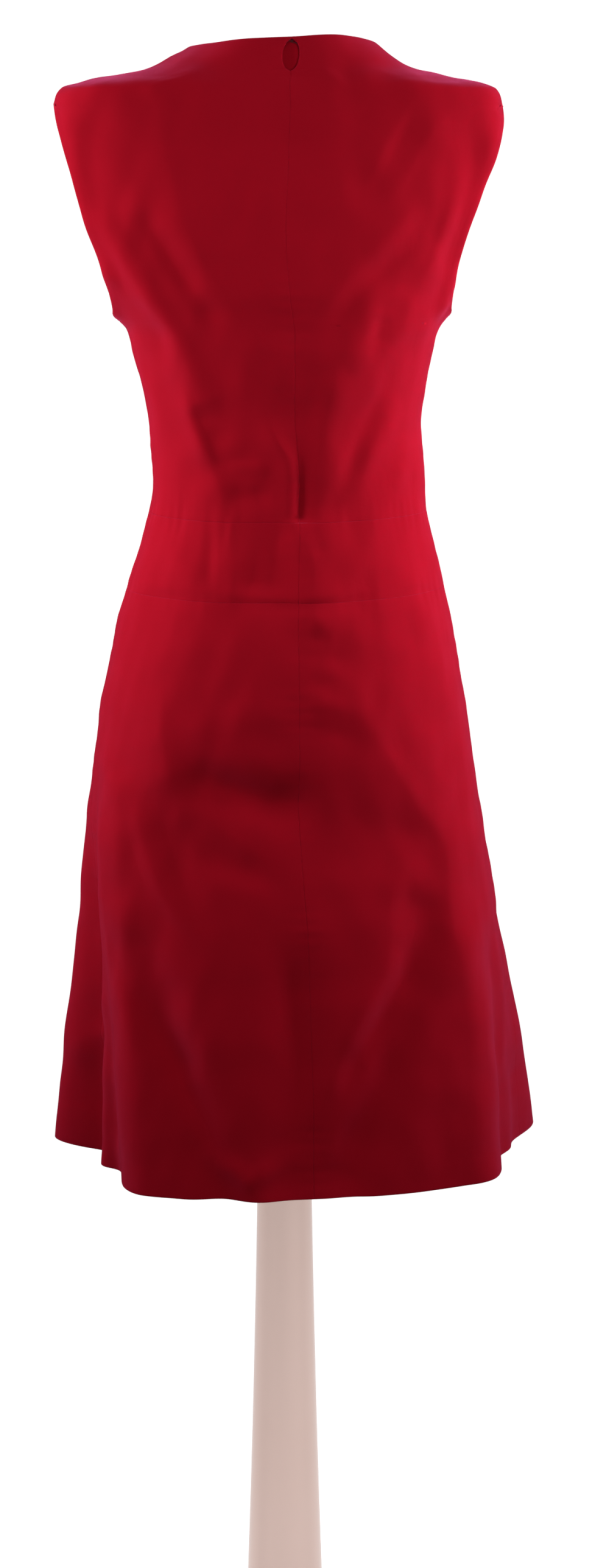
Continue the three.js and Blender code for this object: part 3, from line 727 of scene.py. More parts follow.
def armhole_open(z):
    """How far the armhole is open at a height, from 0 to 1."""
    middle, half = (UNDERARM_Z + SHOULDER_TIP_Z) / 2, (SHOULDER_TIP_Z - UNDERARM_Z) / 2
    away = np.clip(np.abs(z - middle) / half, 0, 1)
    return (1 - away**ARMHOLE_ROUNDNESS) ** (1 / ARMHOLE_ROUNDNESS)


def keyhole_half(z):
    """How far each back piece stands away from the centre-back line at the keyhole."""
    away = np.abs(z - (KEYHOLE_TOP_Z - KEYHOLE_HEIGHT / 2)) / (KEYHOLE_HEIGHT / 2)
    return KEYHOLE_HALF_WIDTH * np.sqrt(1 - np.clip(away, 0, 1) ** 2)


def neck_edge(angle):
    """The neck edge rises to the centre back, most on the wearer's right, and drops in front."""
    cos = np.cos(np.radians(angle))
    rise = NECK_BACK_RISE * np.abs(cos) ** NECK_BACK_POWER
    swing = np.where(cos > 0, rise, -NECK_FRONT_DROP * cos**2)
    from_side = turn(NECK_SIDE_ANGLE, angle) / NECK_SIDE_WIDTH
    return NECK_Z + swing + NECK_SIDE_RISE * 2.0 ** -(from_side**2)


def beside(angle, z, distance):
    """The angle that lies a distance to the left of another."""
    return angle + distance / per_degree(np.full(np.shape(z), float(angle)), z)


EDGES = {
    "centre back of left": lambda z: beside(0, z, keyhole_half(z)),
    "centre back of right": lambda z: beside(0, z, -keyhole_half(z)),
    "left side of back": lambda z: 90 - ARMHOLE_BACK * armhole_open(z),
    "right side of back": lambda z: -90 + ARMHOLE_BACK * armhole_open(z),
    "left side of front": lambda z: 90 + ARMHOLE_FRONT * armhole_open(z),
    "right side of front": lambda z: 270 - ARMHOLE_FRONT * armhole_open(z),
}
chest = np.array(1410.0)
print("the armhole opens", round(float(armhole_open(chest) * ARMHOLE_BACK)), "degrees into the back")

# %% [markdown]
# The nine pieces come in three levels, and each level has a left back, a right back and a front.
# The tables say where each is cut, which seam each edge belongs to, and which edges are turned
# under instead of sewn. A level's reach is its radius at the bottom, from which the number of its
# columns follows.

# %% Where the pieces are cut
ARMHOLE_TURN_START = 0.25
KEYHOLE_TURN_START = 1.5


def always(z):
    """The whole of this edge is turned under."""
    return np.ones(np.shape(z))


def at_armhole(z):
    """A side edge is sewn below the armhole and turned under along it."""
    return np.minimum(1, armhole_open(z) / ARMHOLE_TURN_START)


def at_keyhole(z):
    """A centre-back edge is sewn below the keyhole and turned under along it."""
    return np.minimum(1, keyhole_half(z) / KEYHOLE_TURN_START)


def level_at(height):
    """An edge that runs level round the body."""
    return lambda angle: np.full(np.shape(angle), float(height))


LEVELS = [
    {
        "name": "skirt",
        "bottom": HEM_Z,
        "top": level_at(HIP_SEAM_Z),
        "reach": 235,
        "turned": {"bottom": always},
        "seams": {"top": "hip"},
    },
    {
        "name": "midriff",
        "bottom": HIP_SEAM_Z,
        "top": level_at(WAIST_SEAM_Z),
        "reach": 150,
        "turned": {},
        "seams": {"bottom": "hip", "top": "waist"},
    },
    {
        "name": "bodice",
        "bottom": WAIST_SEAM_Z,
        "top": neck_edge,
        "reach": 185,
        "turned": {"top": always},
        "seams": {"bottom": "waist"},
    },
]
SIDES = {
    "left": ("centre back of left", "left side of back"),
    "right": ("right side of back", "centre back of right"),
    "front": ("left side of front", "right side of front"),
}
SIDE_SEAMS = {
    "left": {"first": "centre back", "last": "left side"},
    "right": {"first": "right side", "last": "centre back"},
    "front": {"first": "left side", "last": "right side"},
}
BODICE_TURNS = {
    "left": {"first": at_keyhole, "last": at_armhole},
    "right": {"first": at_armhole, "last": at_keyhole},
    "front": {"first": at_armhole, "last": at_armhole},
}
print("levels:", [level["name"] for level in LEVELS], "sides:", list(SIDES))

# %% [markdown]
# A piece is a grid of points. Rows are as far apart along the surface as columns are, and both
# crowd together near the edges, where the cloth rolls over a radius of about a millimetre. More
# rows lie at both ends of an armhole, where its outline turns fastest.

# %% Rows and columns of a cut piece
SPACING = {"left": 2.6, "right": 2.6, "front": 3.6}
EDGE_STEPS = (0.1, 0.3, 0.7)
EDGE_STEPS_CLEAR = 1.5
ARMHOLE_ROWS = np.array([0.3, 1.0, 2.0, 3.5])
OUTLINE_SAMPLES = 600


def shares_of(count, length):
    """Even shares from 0 to 1, with some more beside both ends."""
    steps = [step / length for step in EDGE_STEPS]
    clear = steps[-1] * EDGE_STEPS_CLEAR
    middle = np.linspace(0, 1, count + 1)
    middle = middle[(middle > clear) & (middle < 1 - clear)]
    return np.concatenate([[0], steps, middle, 1 - np.array(steps[::-1]), [1]])


def row_shares(bottom, top, spacing):
    """Shares of the height whose rows lie evenly along the side outline."""
    z = np.linspace(bottom, top, OUTLINE_SAMPLES)
    width = along(SECTIONS, "half_width", z)
    steps = np.hypot(np.diff(z), np.diff(width))
    length = np.concatenate([[0], np.cumsum(steps)])
    even = shares_of(int(length[-1] / spacing), length[-1])
    shares = np.interp(even * length[-1], length, (z - bottom) / (top - bottom))
    if top > SHOULDER_TIP_Z:
        turns = np.concatenate([UNDERARM_Z + ARMHOLE_ROWS, SHOULDER_TIP_Z - ARMHOLE_ROWS])
        shares = np.sort(np.concatenate([shares, (turns - bottom) / (top - bottom)]))
    return shares


print("a back skirt has", len(row_shares(HEM_Z, HIP_SEAM_Z, SPACING["left"])), "rows")

# %% [markdown]
# An edge is never a plain cut. At a seam the cloth rolls in a little, and the thread gathers it
# into small puckers, which both sides of the seam share. At a hem it is folded under, rolls over a
# wider radius and shows the stitches as a faint dip.

# %% Edges that roll, pucker and turn under
THICKNESS = 1.0
SEAM_ROLL = 0.4
HEM_ROLL = 0.9
TURN_UNDER = {"hem": 26.0, "neck": 11.0}
TURN_UNDER_EXTRA = 0.7
TURN_UNDER_FADE = 1.5
STITCH_DIP = 0.08
STITCH_WIDTH = 1.6
SEAM_SEEDS = {"centre back": 41, "left side": 42, "right side": 43, "hip": 44, "waist": 45}
PUCKER_WAVES = 6
PUCKER_FEWEST, PUCKER_MOST = 14, 78
PUCKER_HEIGHT = 0.352
PUCKER_REACH = 13.0
DEGREES_PER_MM = 0.48


def roll(distance, radius):
    """How far the cloth has rolled in at a distance from its edge."""
    inside = np.clip(radius - distance, 0, radius)
    return radius - np.sqrt(radius**2 - inside**2)


def pucker(distance, place, seam):
    """Small uneven gathers beside a seam, which fade away from it.

    place is in degrees and the waves close over 360 of them, so both sides of a seam move alike.
    """
    chance = np.random.default_rng(SEAM_SEEDS[seam])
    waves = np.zeros(np.shape(place))
    for around in chance.integers(PUCKER_FEWEST, PUCKER_MOST, PUCKER_WAVES):
        waves += np.sin(np.radians(place) * around + chance.uniform(0, 6)) / PUCKER_WAVES
    return PUCKER_HEIGHT * waves * 2.0 ** -((distance / PUCKER_REACH) ** 2)


print("at its very edge a hem has rolled in", float(roll(0.0, HEM_ROLL)), "mm")

# %% [markdown]
# With that a piece can be laid out. First come the places of its points, row by row between its
# two side edges, and how far each of them is from all four edges.

# %% Places of a cut piece's points
def cloth_places(level, spacing, start, end):
    """The angles and heights of a piece's points, and how far they are from its four edges."""
    bottom = level["bottom"]
    rows = row_shares(bottom, float(level["top"](0.0)), spacing)
    bottom_row = np.array(bottom, float)
    widest = np.radians(end(bottom_row) - start(bottom_row)) * level["reach"]
    columns = shares_of(int(widest / spacing), widest)
    share, up = np.meshgrid(columns, rows)
    foot = start(bottom_row) + (end(bottom_row) - start(bottom_row)) * share
    high = level["top"](foot)
    z = bottom + (high - bottom) * up
    first, last = start(z), end(z)
    angle = first + (last - first) * share
    width = (last - first) * per_degree(angle, z)
    away = {"first": share * width, "last": (1 - share) * width, "bottom": z - bottom, "top": high - z}
    return angle, z, away


skirt_angle, _, _ = cloth_places(LEVELS[0], SPACING["left"], *(EDGES[name] for name in SIDES["left"]))
print("the left back skirt has rows and columns:", skirt_angle.shape)

# %% [markdown]
# Then come the two faces. The folds push the cloth out along the body's own direction, and each
# edge rolls it in and makes it thicker. The inner face lies a cloth's thickness behind the outer,
# and the lengths along the cloth become its UV map.

# %% Faces of a cut piece
def lengths(points, axis):
    """Running length along one axis of a grid of points."""
    steps = np.linalg.norm(np.diff(points, axis=axis), axis=-1)
    start = np.zeros_like(steps.take([0], axis=axis))
    return np.concatenate([start, np.cumsum(steps, axis=axis)], axis=axis)


def grid_normals(points):
    """The way in from a grid of points."""
    down = np.gradient(points, axis=0)
    across = np.gradient(points, axis=1)
    return unit(np.cross(across, down))


def never(z):
    """No part of this edge is turned under."""
    return np.zeros(np.shape(z))


def cloth_grid(level, spacing, start, end):
    """The outer points, the inner points and the UV lengths of one cut piece."""
    angle, z, away = cloth_places(level, spacing, start, end)
    out = drape(angle, z)
    rolled = np.zeros(np.shape(z))
    thick = np.full(np.shape(z), THICKNESS)
    for name, distance in away.items():
        turned = level["turned"].get(name, never)(z)
        rolled += roll(distance, SEAM_ROLL + (HEM_ROLL - SEAM_ROLL) * turned)
        if name in level["seams"]:
            place = z * DEGREES_PER_MM if name in ("first", "last") else angle
            out += (1 - turned) * pucker(distance, place, level["seams"][name])
        under = TURN_UNDER["hem" if name == "bottom" else "neck"]
        thick += turned * TURN_UNDER_EXTRA * np.clip((under - distance) / TURN_UNDER_FADE, 0, 1)
        rolled += turned * STITCH_DIP * 2.0 ** -(((distance - under) / STITCH_WIDTH) ** 2)
    body, way_out = body_point(angle, z), body_normal(angle, z)
    smooth = body + way_out * out[..., None]
    outer = smooth - way_out * rolled[..., None]
    inner = outer + grid_normals(smooth) * thick[..., None]
    uv = np.stack([lengths(outer, 1), lengths(outer, 0)], axis=-1) * MM
    return outer, inner, uv


print("cloth is", THICKNESS, "mm thick and its rows are", SPACING["left"], "mm apart at the back")

# %% [markdown]
# Each mesh is closed: an outer face, an inner face one cloth thickness behind it, and the rims.
# It is written straight from the arrays, which takes a fraction of the time that building it face
# by face would.

# %% Meshes from arrays
def mesh_object(name, points, quads, material, uv=None):
    """A smooth mesh object from points in millimetres and four-cornered faces."""
    mesh = bpy.data.meshes.new(name)
    mesh.vertices.add(len(points))
    mesh.vertices.foreach_set("co", (np.asarray(points) * MM).astype(np.float32).ravel())
    corners = np.asarray(quads, np.int32).ravel()
    mesh.loops.add(len(corners))
    mesh.loops.foreach_set("vertex_index", corners)
    mesh.polygons.add(len(corners) // 4)
    mesh.polygons.foreach_set("loop_start", np.arange(0, len(corners), 4, dtype=np.int32))
    mesh.update(calc_edges=True)
    if uv is not None:
        layer = mesh.uv_layers.new(name="UVMap")
        layer.data.foreach_set("uv", np.asarray(uv)[corners].astype(np.float32).ravel())
    mesh.validate()
    mesh.shade_smooth()
    mesh.materials.append(material)
    made = bpy.data.objects.new(name, mesh)
    bpy.context.collection.objects.link(made)
    return made


def grid_quads(rows, columns, start=0, flip=False):
    """The faces of one grid of points."""
    r, c = np.meshgrid(np.arange(rows - 1), np.arange(columns - 1), indexing="ij")
    a = start + r * columns + c
    quads = np.stack([a, a + 1, a + columns + 1, a + columns], axis=-1).reshape(-1, 4)
    return quads[:, ::-1] if flip else quads


def rim_quads(rows, columns):
    """The faces that close the four rims between an outer and an inner grid."""
    inner = rows * columns
    grid = np.arange(inner).reshape(rows, columns)
    loop = np.concatenate([grid[0, :], grid[1:, -1], grid[-1, -2::-1], grid[-2:0:-1, 0]])
    following = np.roll(loop, -1)
    return np.stack([following, loop, loop + inner, following + inner], axis=-1)


def shell(name, outer, inner, uv, material):
    """A closed cloth mesh from its outer and its inner points."""
    rows, columns = outer.shape[:2]
    both = np.concatenate([outer.reshape(-1, 3), inner.reshape(-1, 3)])
    faces = [grid_quads(rows, columns), grid_quads(rows, columns, rows * columns, flip=True)]
    quads = np.concatenate([*faces, rim_quads(rows, columns)])
    both_uv = np.concatenate([uv.reshape(-1, 2)] * 2)
    return mesh_object(name, both, quads, material, both_uv)


print("a grid of 3 by 4 points has", len(grid_quads(3, 4)), "faces and a rim of", len(rim_quads(3, 4)))

# %% [markdown]
# Each of the nine is made in the same way, rides with the part's one body and is seen in place of
# its solid. The size it was cut to is measured on its own surface, along the folds.

# %% The nine pieces of the dress
def add_cloth(level, side):
    """One cut piece, with its flat size and its area in metres."""
    names = SIDES[side]
    turned = dict(level["turned"])
    if level["name"] == "bodice":
        turned.update(BODICE_TURNS[side])
    level = dict(level, turned=turned, seams={**level["seams"], **SIDE_SEAMS[side]})
    node = f"front_{level['name']}" if side == "front" else f"back_{level['name']}_{side}"
    points, inner, uv = cloth_grid(level, SPACING[side], EDGES[names[0]], EDGES[names[1]])
    piece = shell(f"{node}_cloth", points, inner, uv, dress_cloth)
    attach(piece, "root")
    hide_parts(node)
    steps_across, steps_up = np.diff(points, axis=1), np.diff(points, axis=0)
    patches = np.cross(steps_across[:-1], steps_up[:, :-1])
    area = float(np.linalg.norm(patches, axis=-1).sum()) * MM * MM
    flat = (float(uv[:, -1, 0].max()), float(uv[-1, :, 1].max()))
    print(node, points.shape[:2], "cut", [round(v, 3) for v in flat], "area", round(area, 4))
    return piece, flat, area


for level in LEVELS:
    for side in SIDES:
        add_cloth(level, side)

# %% [markdown]
# A dressmaker cuts flat pieces, and cloth hardly stretches, so each piece says the size it was cut
# to: its widest width, its length and its area. The bodice hangs from the tops of the form's
# shoulders and carries the rest.

# %% [markdown]
# Everything else is made of stacks of rings: a lathe's profile for the stand, tubes for the wire
# and slices for the form. A face at each end closes a stack, so every one of them is solid.

# %% Stacks of rings
def ring_faces(rings, start):
    """The side faces and the two end faces of a stack of rings."""
    count = len(rings[0])
    faces = []
    for low in range(start, start + count * (len(rings) - 1), count):
        faces += [
            (low + i, low + (i + 1) % count, low + count + (i + 1) % count, low + count + i)
            for i in range(count)
        ]
    last = start + count * (len(rings) - 1)
    return faces + [tuple(range(start, start + count)), tuple(range(last, last + count))]


def solid(name, stacks, material):
    """One smooth mesh object from several closed stacks of rings, in millimetres."""
    points, faces = [], []
    for rings in stacks:
        faces += ring_faces(rings, len(points))
        points += [tuple(point * MM) for ring in rings for point in ring]
    mesh = bpy.data.meshes.new(name)
    mesh.from_pydata(points, [], faces)
    shape = bmesh.new()
    shape.from_mesh(mesh)
    bmesh.ops.recalc_face_normals(shape, faces=shape.faces)
    shape.to_mesh(mesh)
    shape.free()
    mesh.shade_smooth()
    mesh.materials.append(material)
    made = bpy.data.objects.new(name, mesh)
    bpy.context.collection.objects.link(made)
    return made


def stand_for(piece, node):
    """The piece rides with the part and is seen in place of its CAD node."""
    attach(piece, "root")
    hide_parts(node)


print("a stack of 3 rings of 8 has", len(ring_faces([range(8)] * 3, 0)), "faces")

# %% [markdown]
# A real edge is never perfectly sharp and catches the light. So turned parts and plates start as a
# profile of a few corners, which are then rounded by curves, as a file or a polisher would do.

# %% Turned parts, plates and wire
OVAL_LIP = 8
MOST_OF_A_SIDE = 0.45
OFF_EVERY_WIRE = (0.0, 1.0, 0.05)


def rounded(profile, radius, steps=5):
    """The same profile with all corners but its two ends rounded."""
    profile = [np.array(point, float) for point in profile]
    out = [profile[0]]
    for before, corner, after in zip(profile, profile[1:], profile[2:]):
        sides = [np.linalg.norm(end - corner) for end in (before, after)]
        reach = [min(radius, side * MOST_OF_A_SIDE) for side in sides]
        start = corner + (before - corner) / np.linalg.norm(before - corner) * reach[0]
        end = corner + (after - corner) / np.linalg.norm(after - corner) * reach[1]
        for t in np.linspace(0, 1, steps):
            out.append(start * (1 - t) ** 2 + corner * 2 * t * (1 - t) + end * t * t)
    return out + [profile[-1]]


def lathe(profile, sides):
    """Rings round the upright axis from pairs of radius and height."""
    angles = np.arange(sides) * 2 * math.pi / sides
    return [
        np.stack([radius * np.cos(angles), radius * np.sin(angles), np.full(sides, z)], axis=-1)
        for radius, z in profile
    ]


def oval(half_width, half_depth, thickness, edge, sides=128):
    """Rings of a flat oval plate with rounded edges, lying level on height 0."""
    angles = np.arange(sides) * 2 * math.pi / sides
    small = min(half_width, half_depth)
    lip = small - OVAL_LIP
    side = [(lip, 0), (small, 0), (small, thickness), (lip, thickness)]
    rings = []
    for reach, z in rounded(side, edge):
        x, y = half_width - small + reach, half_depth - small + reach
        rings.append(np.stack([x * np.cos(angles), y * np.sin(angles), np.full(sides, z)], axis=-1))
    return rings


def tube(path, radius, sides=8):
    """Rings of a wire along a path of points."""
    path = np.array(path, float)
    along_it = unit(np.gradient(path, axis=0))
    side = unit(np.cross(along_it, OFF_EVERY_WIRE))
    other = np.cross(along_it, side)
    angles = np.arange(sides) * 2 * math.pi / sides
    return [
        point + radius * (np.outer(np.cos(angles), a) + np.outer(np.sin(angles), b))
        for point, a, b in zip(path, side, other)
    ]


two_corners = rounded([(0, 0), (1, 0), (1, 1), (0, 1)], 0.1)
print("a profile with two rounded corners has", len(two_corners), "points")

# %% [markdown]
# The zip is a concealed one: a strip of tape behind the centre-back seam, with its coil on the
# inner side. Only its tape shows, through the keyhole at the top. It follows the cloth's folds,
# since it is sewn to them.

# %% The tape of the zip
ZIP_BOTTOM_Z = 985
ZIP_TOP_Z = 1561
TAPE_HALF_WIDTH = 11
TAPE_DEPTH = 3.4
TAPE_THICKNESS = 0.6
TAPE_COLUMNS, TAPE_ROWS = 13, 230


def behind_seam(across, z, depth):
    """Points behind the cloth, at distances across the centre-back line."""
    angle = across / per_degree(np.zeros(np.shape(z)), z)
    points = body_point(angle, z)
    return points + body_normal(angle, z) * (drape(angle, z) - depth)[..., None]


across, z = np.meshgrid(
    np.linspace(-TAPE_HALF_WIDTH, TAPE_HALF_WIDTH, TAPE_COLUMNS),
    np.linspace(ZIP_BOTTOM_Z, ZIP_TOP_Z, TAPE_ROWS),
)
tape_faces = [behind_seam(across, z, TAPE_DEPTH + more) for more in (0, TAPE_THICKNESS)]
tape = shell("zip_tape_strip", *tape_faces, np.stack([across, z], axis=-1) * MM, zip_cloth)
stand_for(tape, "centre_back_zip")
print("the tape is", ZIP_TOP_Z - ZIP_BOTTOM_Z, "mm long")

# %% [markdown]
# The coil is two rows of small loops that grip each other, one from the left and then one from the
# right, like an array. Each loop is a half circle of wire with its two ends on the tape.

# %% The coil of the zip
COIL_PITCH = 1.9
COIL_REACH = 1.7
COIL_WIRE = 0.42
COIL_START, COIL_STOP = 6, 26
LOOP_MIDDLE, LOOP_BULGE, LOOP_RISE = 1.1, 0.9, 0.55
BEND_POINTS = 6
COIL_SIDES = 6

coil_z = np.arange(ZIP_BOTTOM_Z + COIL_START, ZIP_TOP_Z - COIL_STOP, COIL_PITCH)
coil_side = np.where(np.arange(len(coil_z)) % 2, 1, -1)
bend = np.linspace(-0.5 * math.pi, 0.5 * math.pi, BEND_POINTS)
round_the_bend = COIL_REACH - LOOP_MIDDLE - LOOP_BULGE * np.cos(bend)
loop_out = np.concatenate([[COIL_REACH], round_the_bend, [COIL_REACH]])
loop_rise = LOOP_RISE * np.concatenate([[-1], np.sin(bend), [1]])
coil_depth = TAPE_DEPTH + TAPE_THICKNESS + COIL_WIRE
coil_paths = behind_seam(coil_side[:, None] * loop_out, coil_z[:, None] + loop_rise, coil_depth)
coil = solid("zip_coil", [tube(path, COIL_WIRE, COIL_SIDES) for path in coil_paths], zip_cloth)
stand_for(coil, "centre_back_zip")
print("the coil has", len(coil_z), "loops")

# %% [markdown]
# The hook and the eye are bent from one piece of wire each. The hook has one small ring and the
# eye two, by which they are sewn to the inside of the neck edge, and the hook's end folds back over
# the eye.

# %% The hook and eye
HOOK_Z = 1558
HOOK_DEPTH = 2.1
WIRE_RADIUS = 0.25
SEW_RING = 0.8
SEW_RING_AT = 4.3
SEW_RING_POINTS = 12
WIRE_STEPS = 4
BEND_DEPTH = 0.52


def wire_path(shape):
    """A wire's path from rows of distance across, height and extra depth, in millimetres."""
    across, up, deep = np.array(shape, float).T
    steps = np.linspace(0, len(across) - 1, (len(across) - 1) * WIRE_STEPS + 1)
    places = np.arange(len(across))
    across, up, deep = (np.interp(steps, places, values) for values in (across, up, deep))
    return behind_seam(across, HOOK_Z + up, HOOK_DEPTH + deep)


def sewing_ring(side, up):
    """A small ring to sew through, as rows of distance across, height and depth."""
    turns = np.linspace(0, 2 * math.pi, SEW_RING_POINTS + 1)[:-1]
    middle = side * SEW_RING_AT
    return [(middle + SEW_RING * math.cos(t), up + SEW_RING * math.sin(t), 0) for t in turns]


hook_wire = [
    *sewing_ring(1, 1.2)[::-1],
    (3.0, 0.5, 0),
    (1.0, 0.35, 0),
    (-0.9, 0.3, 0),
    (-1.2, 0, BEND_DEPTH),
    (-0.9, -0.3, 2 * BEND_DEPTH),
    (1.0, -0.3, 2 * BEND_DEPTH),
]
eye_wire = [
    *sewing_ring(-1, 1.2),
    (-3.0, 1.1, BEND_DEPTH),
    (-1.0, 0.9, BEND_DEPTH),
    (-0.3, 0, BEND_DEPTH),
    (-1.0, -0.9, BEND_DEPTH),
    (-3.0, -1.1, BEND_DEPTH),
    *sewing_ring(-1, -1.2),
]
hook_metal, _, _ = node_material(
    "dark red lacquered wire",
    Base_Color=(0.09, 0.004, 0.008, 1),
    Metallic=0.4,
    Roughness=0.38,
    Coat_Weight=0.3,
)
wires = [tube(wire_path(wire), WIRE_RADIUS) for wire in (hook_wire, eye_wire)]
hook = solid("hook_and_eye_wire", wires, hook_metal)
stand_for(hook, "neck_hook_and_eye")
print("hook and eye have", len(hook.data.polygons), "faces")

# %% [markdown]
# A plain jersey is stretched over the form. Its knit is so fine that it shows only from close by,
# as two noises of different sizes in a shallow bump.

# %% Finish of the jersey
def jersey_finish():
    """A matt, slightly uneven beige knit."""
    material, tree, shader = node_material(
        "plain jersey", Roughness=0.9, Specular_IOR_Level=0.1, Sheen_Weight=0.2
    )
    shade = noise(tree, scale=14.0, detail=3.0)
    colour = two_colours(tree, shade, (0.56, 0.47, 0.37), (0.63, 0.54, 0.44))
    tree.links.new(colour, shader.inputs["Base Color"])
    loops = noise(tree, scale=1400.0, detail=1.0, stretch=(1, 1, 0.35))
    knit = add(tree, loops, noise(tree, scale=500.0, detail=2.0))
    tree.links.new(bump(tree, knit, strength=0.3, distance=0.0002), shader.inputs["Normal"])
    return material


jersey = jersey_finish()
print("finish:", jersey.name)

# %% [markdown]
# The form is the body surface once more, moved inwards, and cut off by a leaning plane at each
# arm. Its padding rounds those cuts off, so the plane is met through a soft minimum. The dress
# hangs on it at the shoulders and the bust, and stands a little away from it elsewhere.

# %% The padded form
CAD_WALL = 2
FORM_BOTTOM_Z = 840
FORM_TOP_Z = 1546
FORM_EDGE = 24
FORM_SIDES = 180
FORM_ROWS = 110
FORM_CROWDING = 1.3
FLOOR_INSET, LID_INSET, LID_SOURCE = 8, 6, 3
ARM_PLANE_Z = 1320
ARM_PLANE_X = 139
ARM_PLANE_LEAN = 0.241
CUT_SOFTNESS = 2.5
FORM_CLEARANCE = table(
    ("z", "side", "middle"),
    [
        (820, 16, 26),
        (930, 11, 25),
        (1000, 9, 15),
        (1075, 8, 10),
        (1200, 8, 11),
        (1320, 8, 10),
        (1440, 6, 9),
        (1500, 2, 8),
        (1570, 2, 7),
    ],
)


def form_ring(z):
    """One slice of the form. z is the height of the cloth's surface that the slice lies under."""
    angle = np.arange(FORM_SIDES) * 360 / FORM_SIDES
    z = np.full(FORM_SIDES, float(z))
    middle, side = along(FORM_CLEARANCE, "middle", z), along(FORM_CLEARANCE, "side", z)
    clearance = middle + (side - middle) * np.sin(np.radians(angle)) ** 4
    ring = body_point(angle, z) - body_normal(angle, z) * (CAD_WALL + clearance)[:, None]
    plane = ARM_PLANE_X + ARM_PLANE_LEAN * (ring[:, 2] - ARM_PLANE_Z)
    excess = np.abs(ring[:, 0]) - plane
    cut = CUT_SOFTNESS * np.logaddexp(0, excess / CUT_SOFTNESS)
    ring[:, 0] -= np.sign(ring[:, 0]) * cut
    return ring


def level_ring(ring, inset, z):
    """A ring moved towards the axis and laid level."""
    share = 1 - inset / np.hypot(ring[:, 0], ring[:, 1])
    return np.stack([ring[:, 0] * share, ring[:, 1] * share, np.full(len(ring), z)], axis=-1)


heights = 1 - (1 - np.arange(FORM_ROWS + 1) / FORM_ROWS) ** FORM_CROWDING
lowest = FORM_BOTTOM_Z + FORM_EDGE
form_rings = [form_ring(lowest + (FORM_TOP_Z - lowest) * share) for share in heights]
edge_rings = []
for edge_turn in np.radians(np.arange(0, 90, 10)):
    inset, rise = FORM_EDGE * (1 - math.sin(edge_turn)), FORM_EDGE * (1 - math.cos(edge_turn))
    edge_rings.append(level_ring(form_rings[0], inset, FORM_BOTTOM_Z + rise))
floor_ring = level_ring(form_rings[0], FORM_EDGE + FLOOR_INSET, FORM_BOTTOM_Z)
lid_ring = level_ring(form_ring(FORM_TOP_Z + LID_SOURCE), 0, FORM_TOP_Z)
inner_lid = level_ring(lid_ring, LID_INSET, FORM_TOP_Z)
stack = [floor_ring, *edge_rings, *form_rings, lid_ring, inner_lid]
form = solid("form_torso_jersey", [stack], jersey)
stand_for(form, "form_torso")
print("form has", len(form.data.polygons), "faces")

# %% [markdown]
# The stand is satin metal of a pinkish champagne colour. It was turned on a lathe, so very fine
# marks run round it, and its colour and its gloss change a little from place to place.

# %% Finish of the stand
def satin_metal():
    """Satin metal with fine turning marks."""
    material, tree, shader = node_material("satin champagne metal", Metallic=1.0)
    cloudy = noise(tree, scale=6.0, detail=3.0)
    marks = noise(tree, scale=60.0, detail=2.0, stretch=(1, 1, 30))
    colour = two_colours(tree, cloudy, (0.50, 0.37, 0.33), (0.58, 0.44, 0.40))
    tree.links.new(colour, shader.inputs["Base Color"])
    gloss = add(tree, remap(tree, cloudy, 0.26, 0.38), remap(tree, marks, -0.03, 0.03))
    tree.links.new(gloss, shader.inputs["Roughness"])
    tree.links.new(bump(tree, marks, strength=0.12, distance=0.0001), shader.inputs["Normal"])
    return material


metal = satin_metal()
print("finish:", metal.name)

# %% [markdown]
# The stand is four turned parts that stand on each other: a heavy base, a collar that holds the
# column, the column with its flare towards the foot, and the flange that carries the form. Each
# is a lathe's profile, given from its bottom to its top, with the corners rounded.

# %% The stand
TOUCH_GAP = 0.3
HUB_RADIUS = 10
BASE_RADIUS = 138
BASE_THICKNESS = 16
BASE_SIDES = 192
COLLAR_RADIUS = 62
COLLAR_HEIGHT = 30
COLUMN_TOP_RADIUS = 23
COLUMN_FLARE = 17
COLUMN_ROWS = 60
FLANGE_RADIUS = 55
FLANGE_HEIGHT = 26


def column_radius(z):
    """The column's radius at a height; it flares towards the foot."""
    return COLUMN_TOP_RADIUS + COLUMN_FLARE * (1 - z / FORM_BOTTOM_Z) ** 2


def turned_part(name, node, profile, rounding=0, sides=128):
    """One lathe-turned part of the stand, closed towards the axis at both ends."""
    profile = [(HUB_RADIUS, profile[0][1]), *profile, (HUB_RADIUS, profile[-1][1])]
    rings = lathe(rounded(profile, rounding) if rounding else profile, sides)
    stand_for(solid(name, [rings], metal), node)
    print(node, "stands from", round(float(profile[0][1]), 1), "to", round(float(profile[-1][1]), 1))


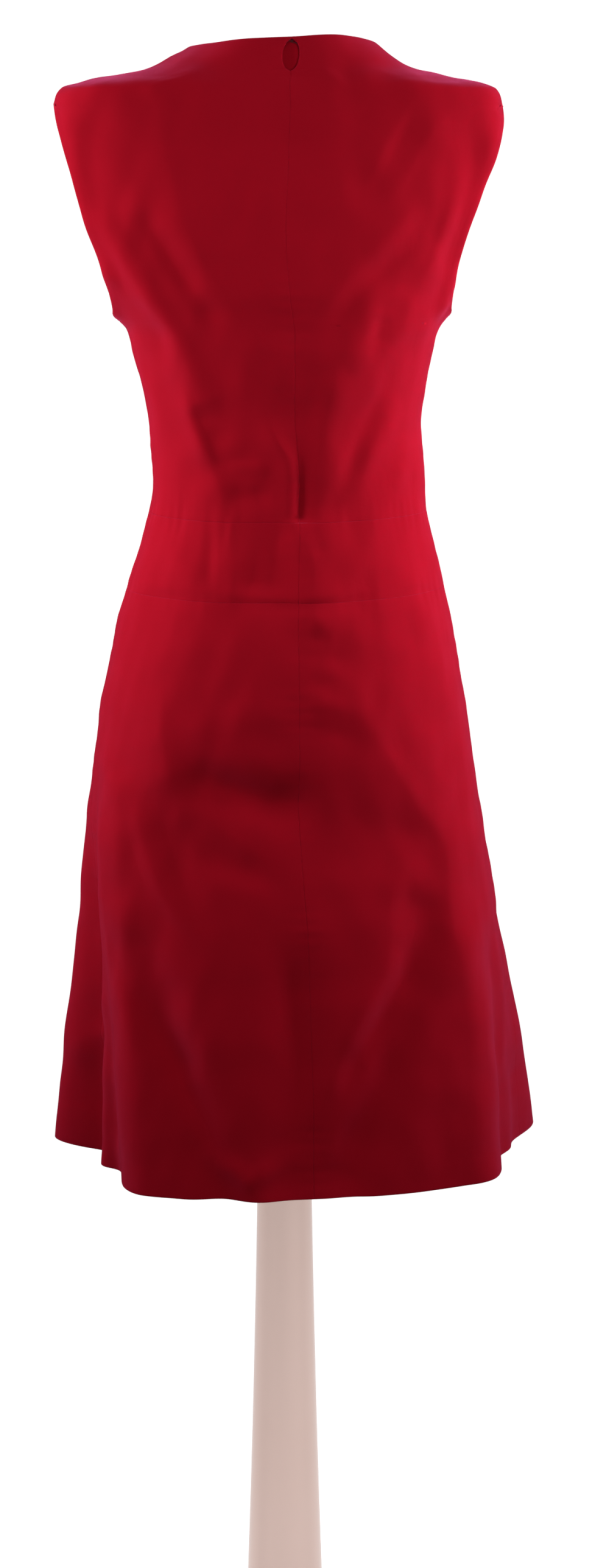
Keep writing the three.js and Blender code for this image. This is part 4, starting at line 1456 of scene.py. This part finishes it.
collar_bottom = BASE_THICKNESS + TOUCH_GAP
collar_top = collar_bottom + COLLAR_HEIGHT
flange_bottom = FORM_BOTTOM_Z - TOUCH_GAP - FLANGE_HEIGHT
flange_top = flange_bottom + FLANGE_HEIGHT
neck = column_radius(collar_top)
column_z = np.linspace(collar_top + TOUCH_GAP, flange_bottom - TOUCH_GAP, COLUMN_ROWS)
base_profile = [(BASE_RADIUS, 0), (BASE_RADIUS, BASE_THICKNESS)]
collar_profile = [
    (COLLAR_RADIUS, collar_bottom),
    (COLLAR_RADIUS - 3, collar_bottom + 6),
    (neck + 8, collar_top - 4),
    (neck + 4, collar_top),
]
flange_profile = [
    (COLUMN_TOP_RADIUS + 6, flange_bottom),
    (COLUMN_TOP_RADIUS + 6, flange_top - 10),
    (FLANGE_RADIUS, flange_top - 5),
    (FLANGE_RADIUS, flange_top),
]
turned_part("base_disc", "stand_base", base_profile, rounding=4, sides=BASE_SIDES)
turned_part("base_collar", "stand_collar", collar_profile, rounding=2.5)
turned_part("column_tube", "stand_column", [(column_radius(z), z) for z in column_z])
turned_part("form_flange", "stand_flange", flange_profile, rounding=1.5)

# %% [markdown]
# The form is closed by flat oval plates of the same metal: a cap on the neck, and one over each
# arm's cut. An arm plate leans with its cut, so its rings are laid along that plane's own
# directions.

# %% The plates
CAP_PLACE = np.array((0, 5, FORM_TOP_Z + TOUCH_GAP))
PLATE_CENTRE_Z = 1412

cap = [ring + CAP_PLACE for ring in oval(half_width=72, half_depth=34, thickness=3.4, edge=1.2)]
stand_for(solid("neck_cap_plate", [cap], metal), "form_neck_cap")

arm_oval = oval(half_width=66, half_depth=31, thickness=3, edge=1.0)
lean = math.atan(ARM_PLANE_LEAN)
plane_x = ARM_PLANE_X + ARM_PLANE_LEAN * (PLATE_CENTRE_Z - ARM_PLANE_Z)
for side_name, sign in (("left", 1), ("right", -1)):
    outwards = np.array((sign * math.cos(lean), 0, -math.sin(lean)))
    upwards = np.array((-math.sin(lean), 0, -sign * math.cos(lean)))
    middle = np.array((sign * plane_x, 0, PLATE_CENTRE_Z)) + outwards * TOUCH_GAP
    axes = np.array((upwards, (0, 1, 0), outwards))
    made = solid(f"arm_plate_{side_name}", [[middle + ring @ axes for ring in arm_oval]], metal)
    stand_for(made, f"form_arm_plate_{side_name}")
print("plates lean", round(math.degrees(lean), 1), "degrees from upright")
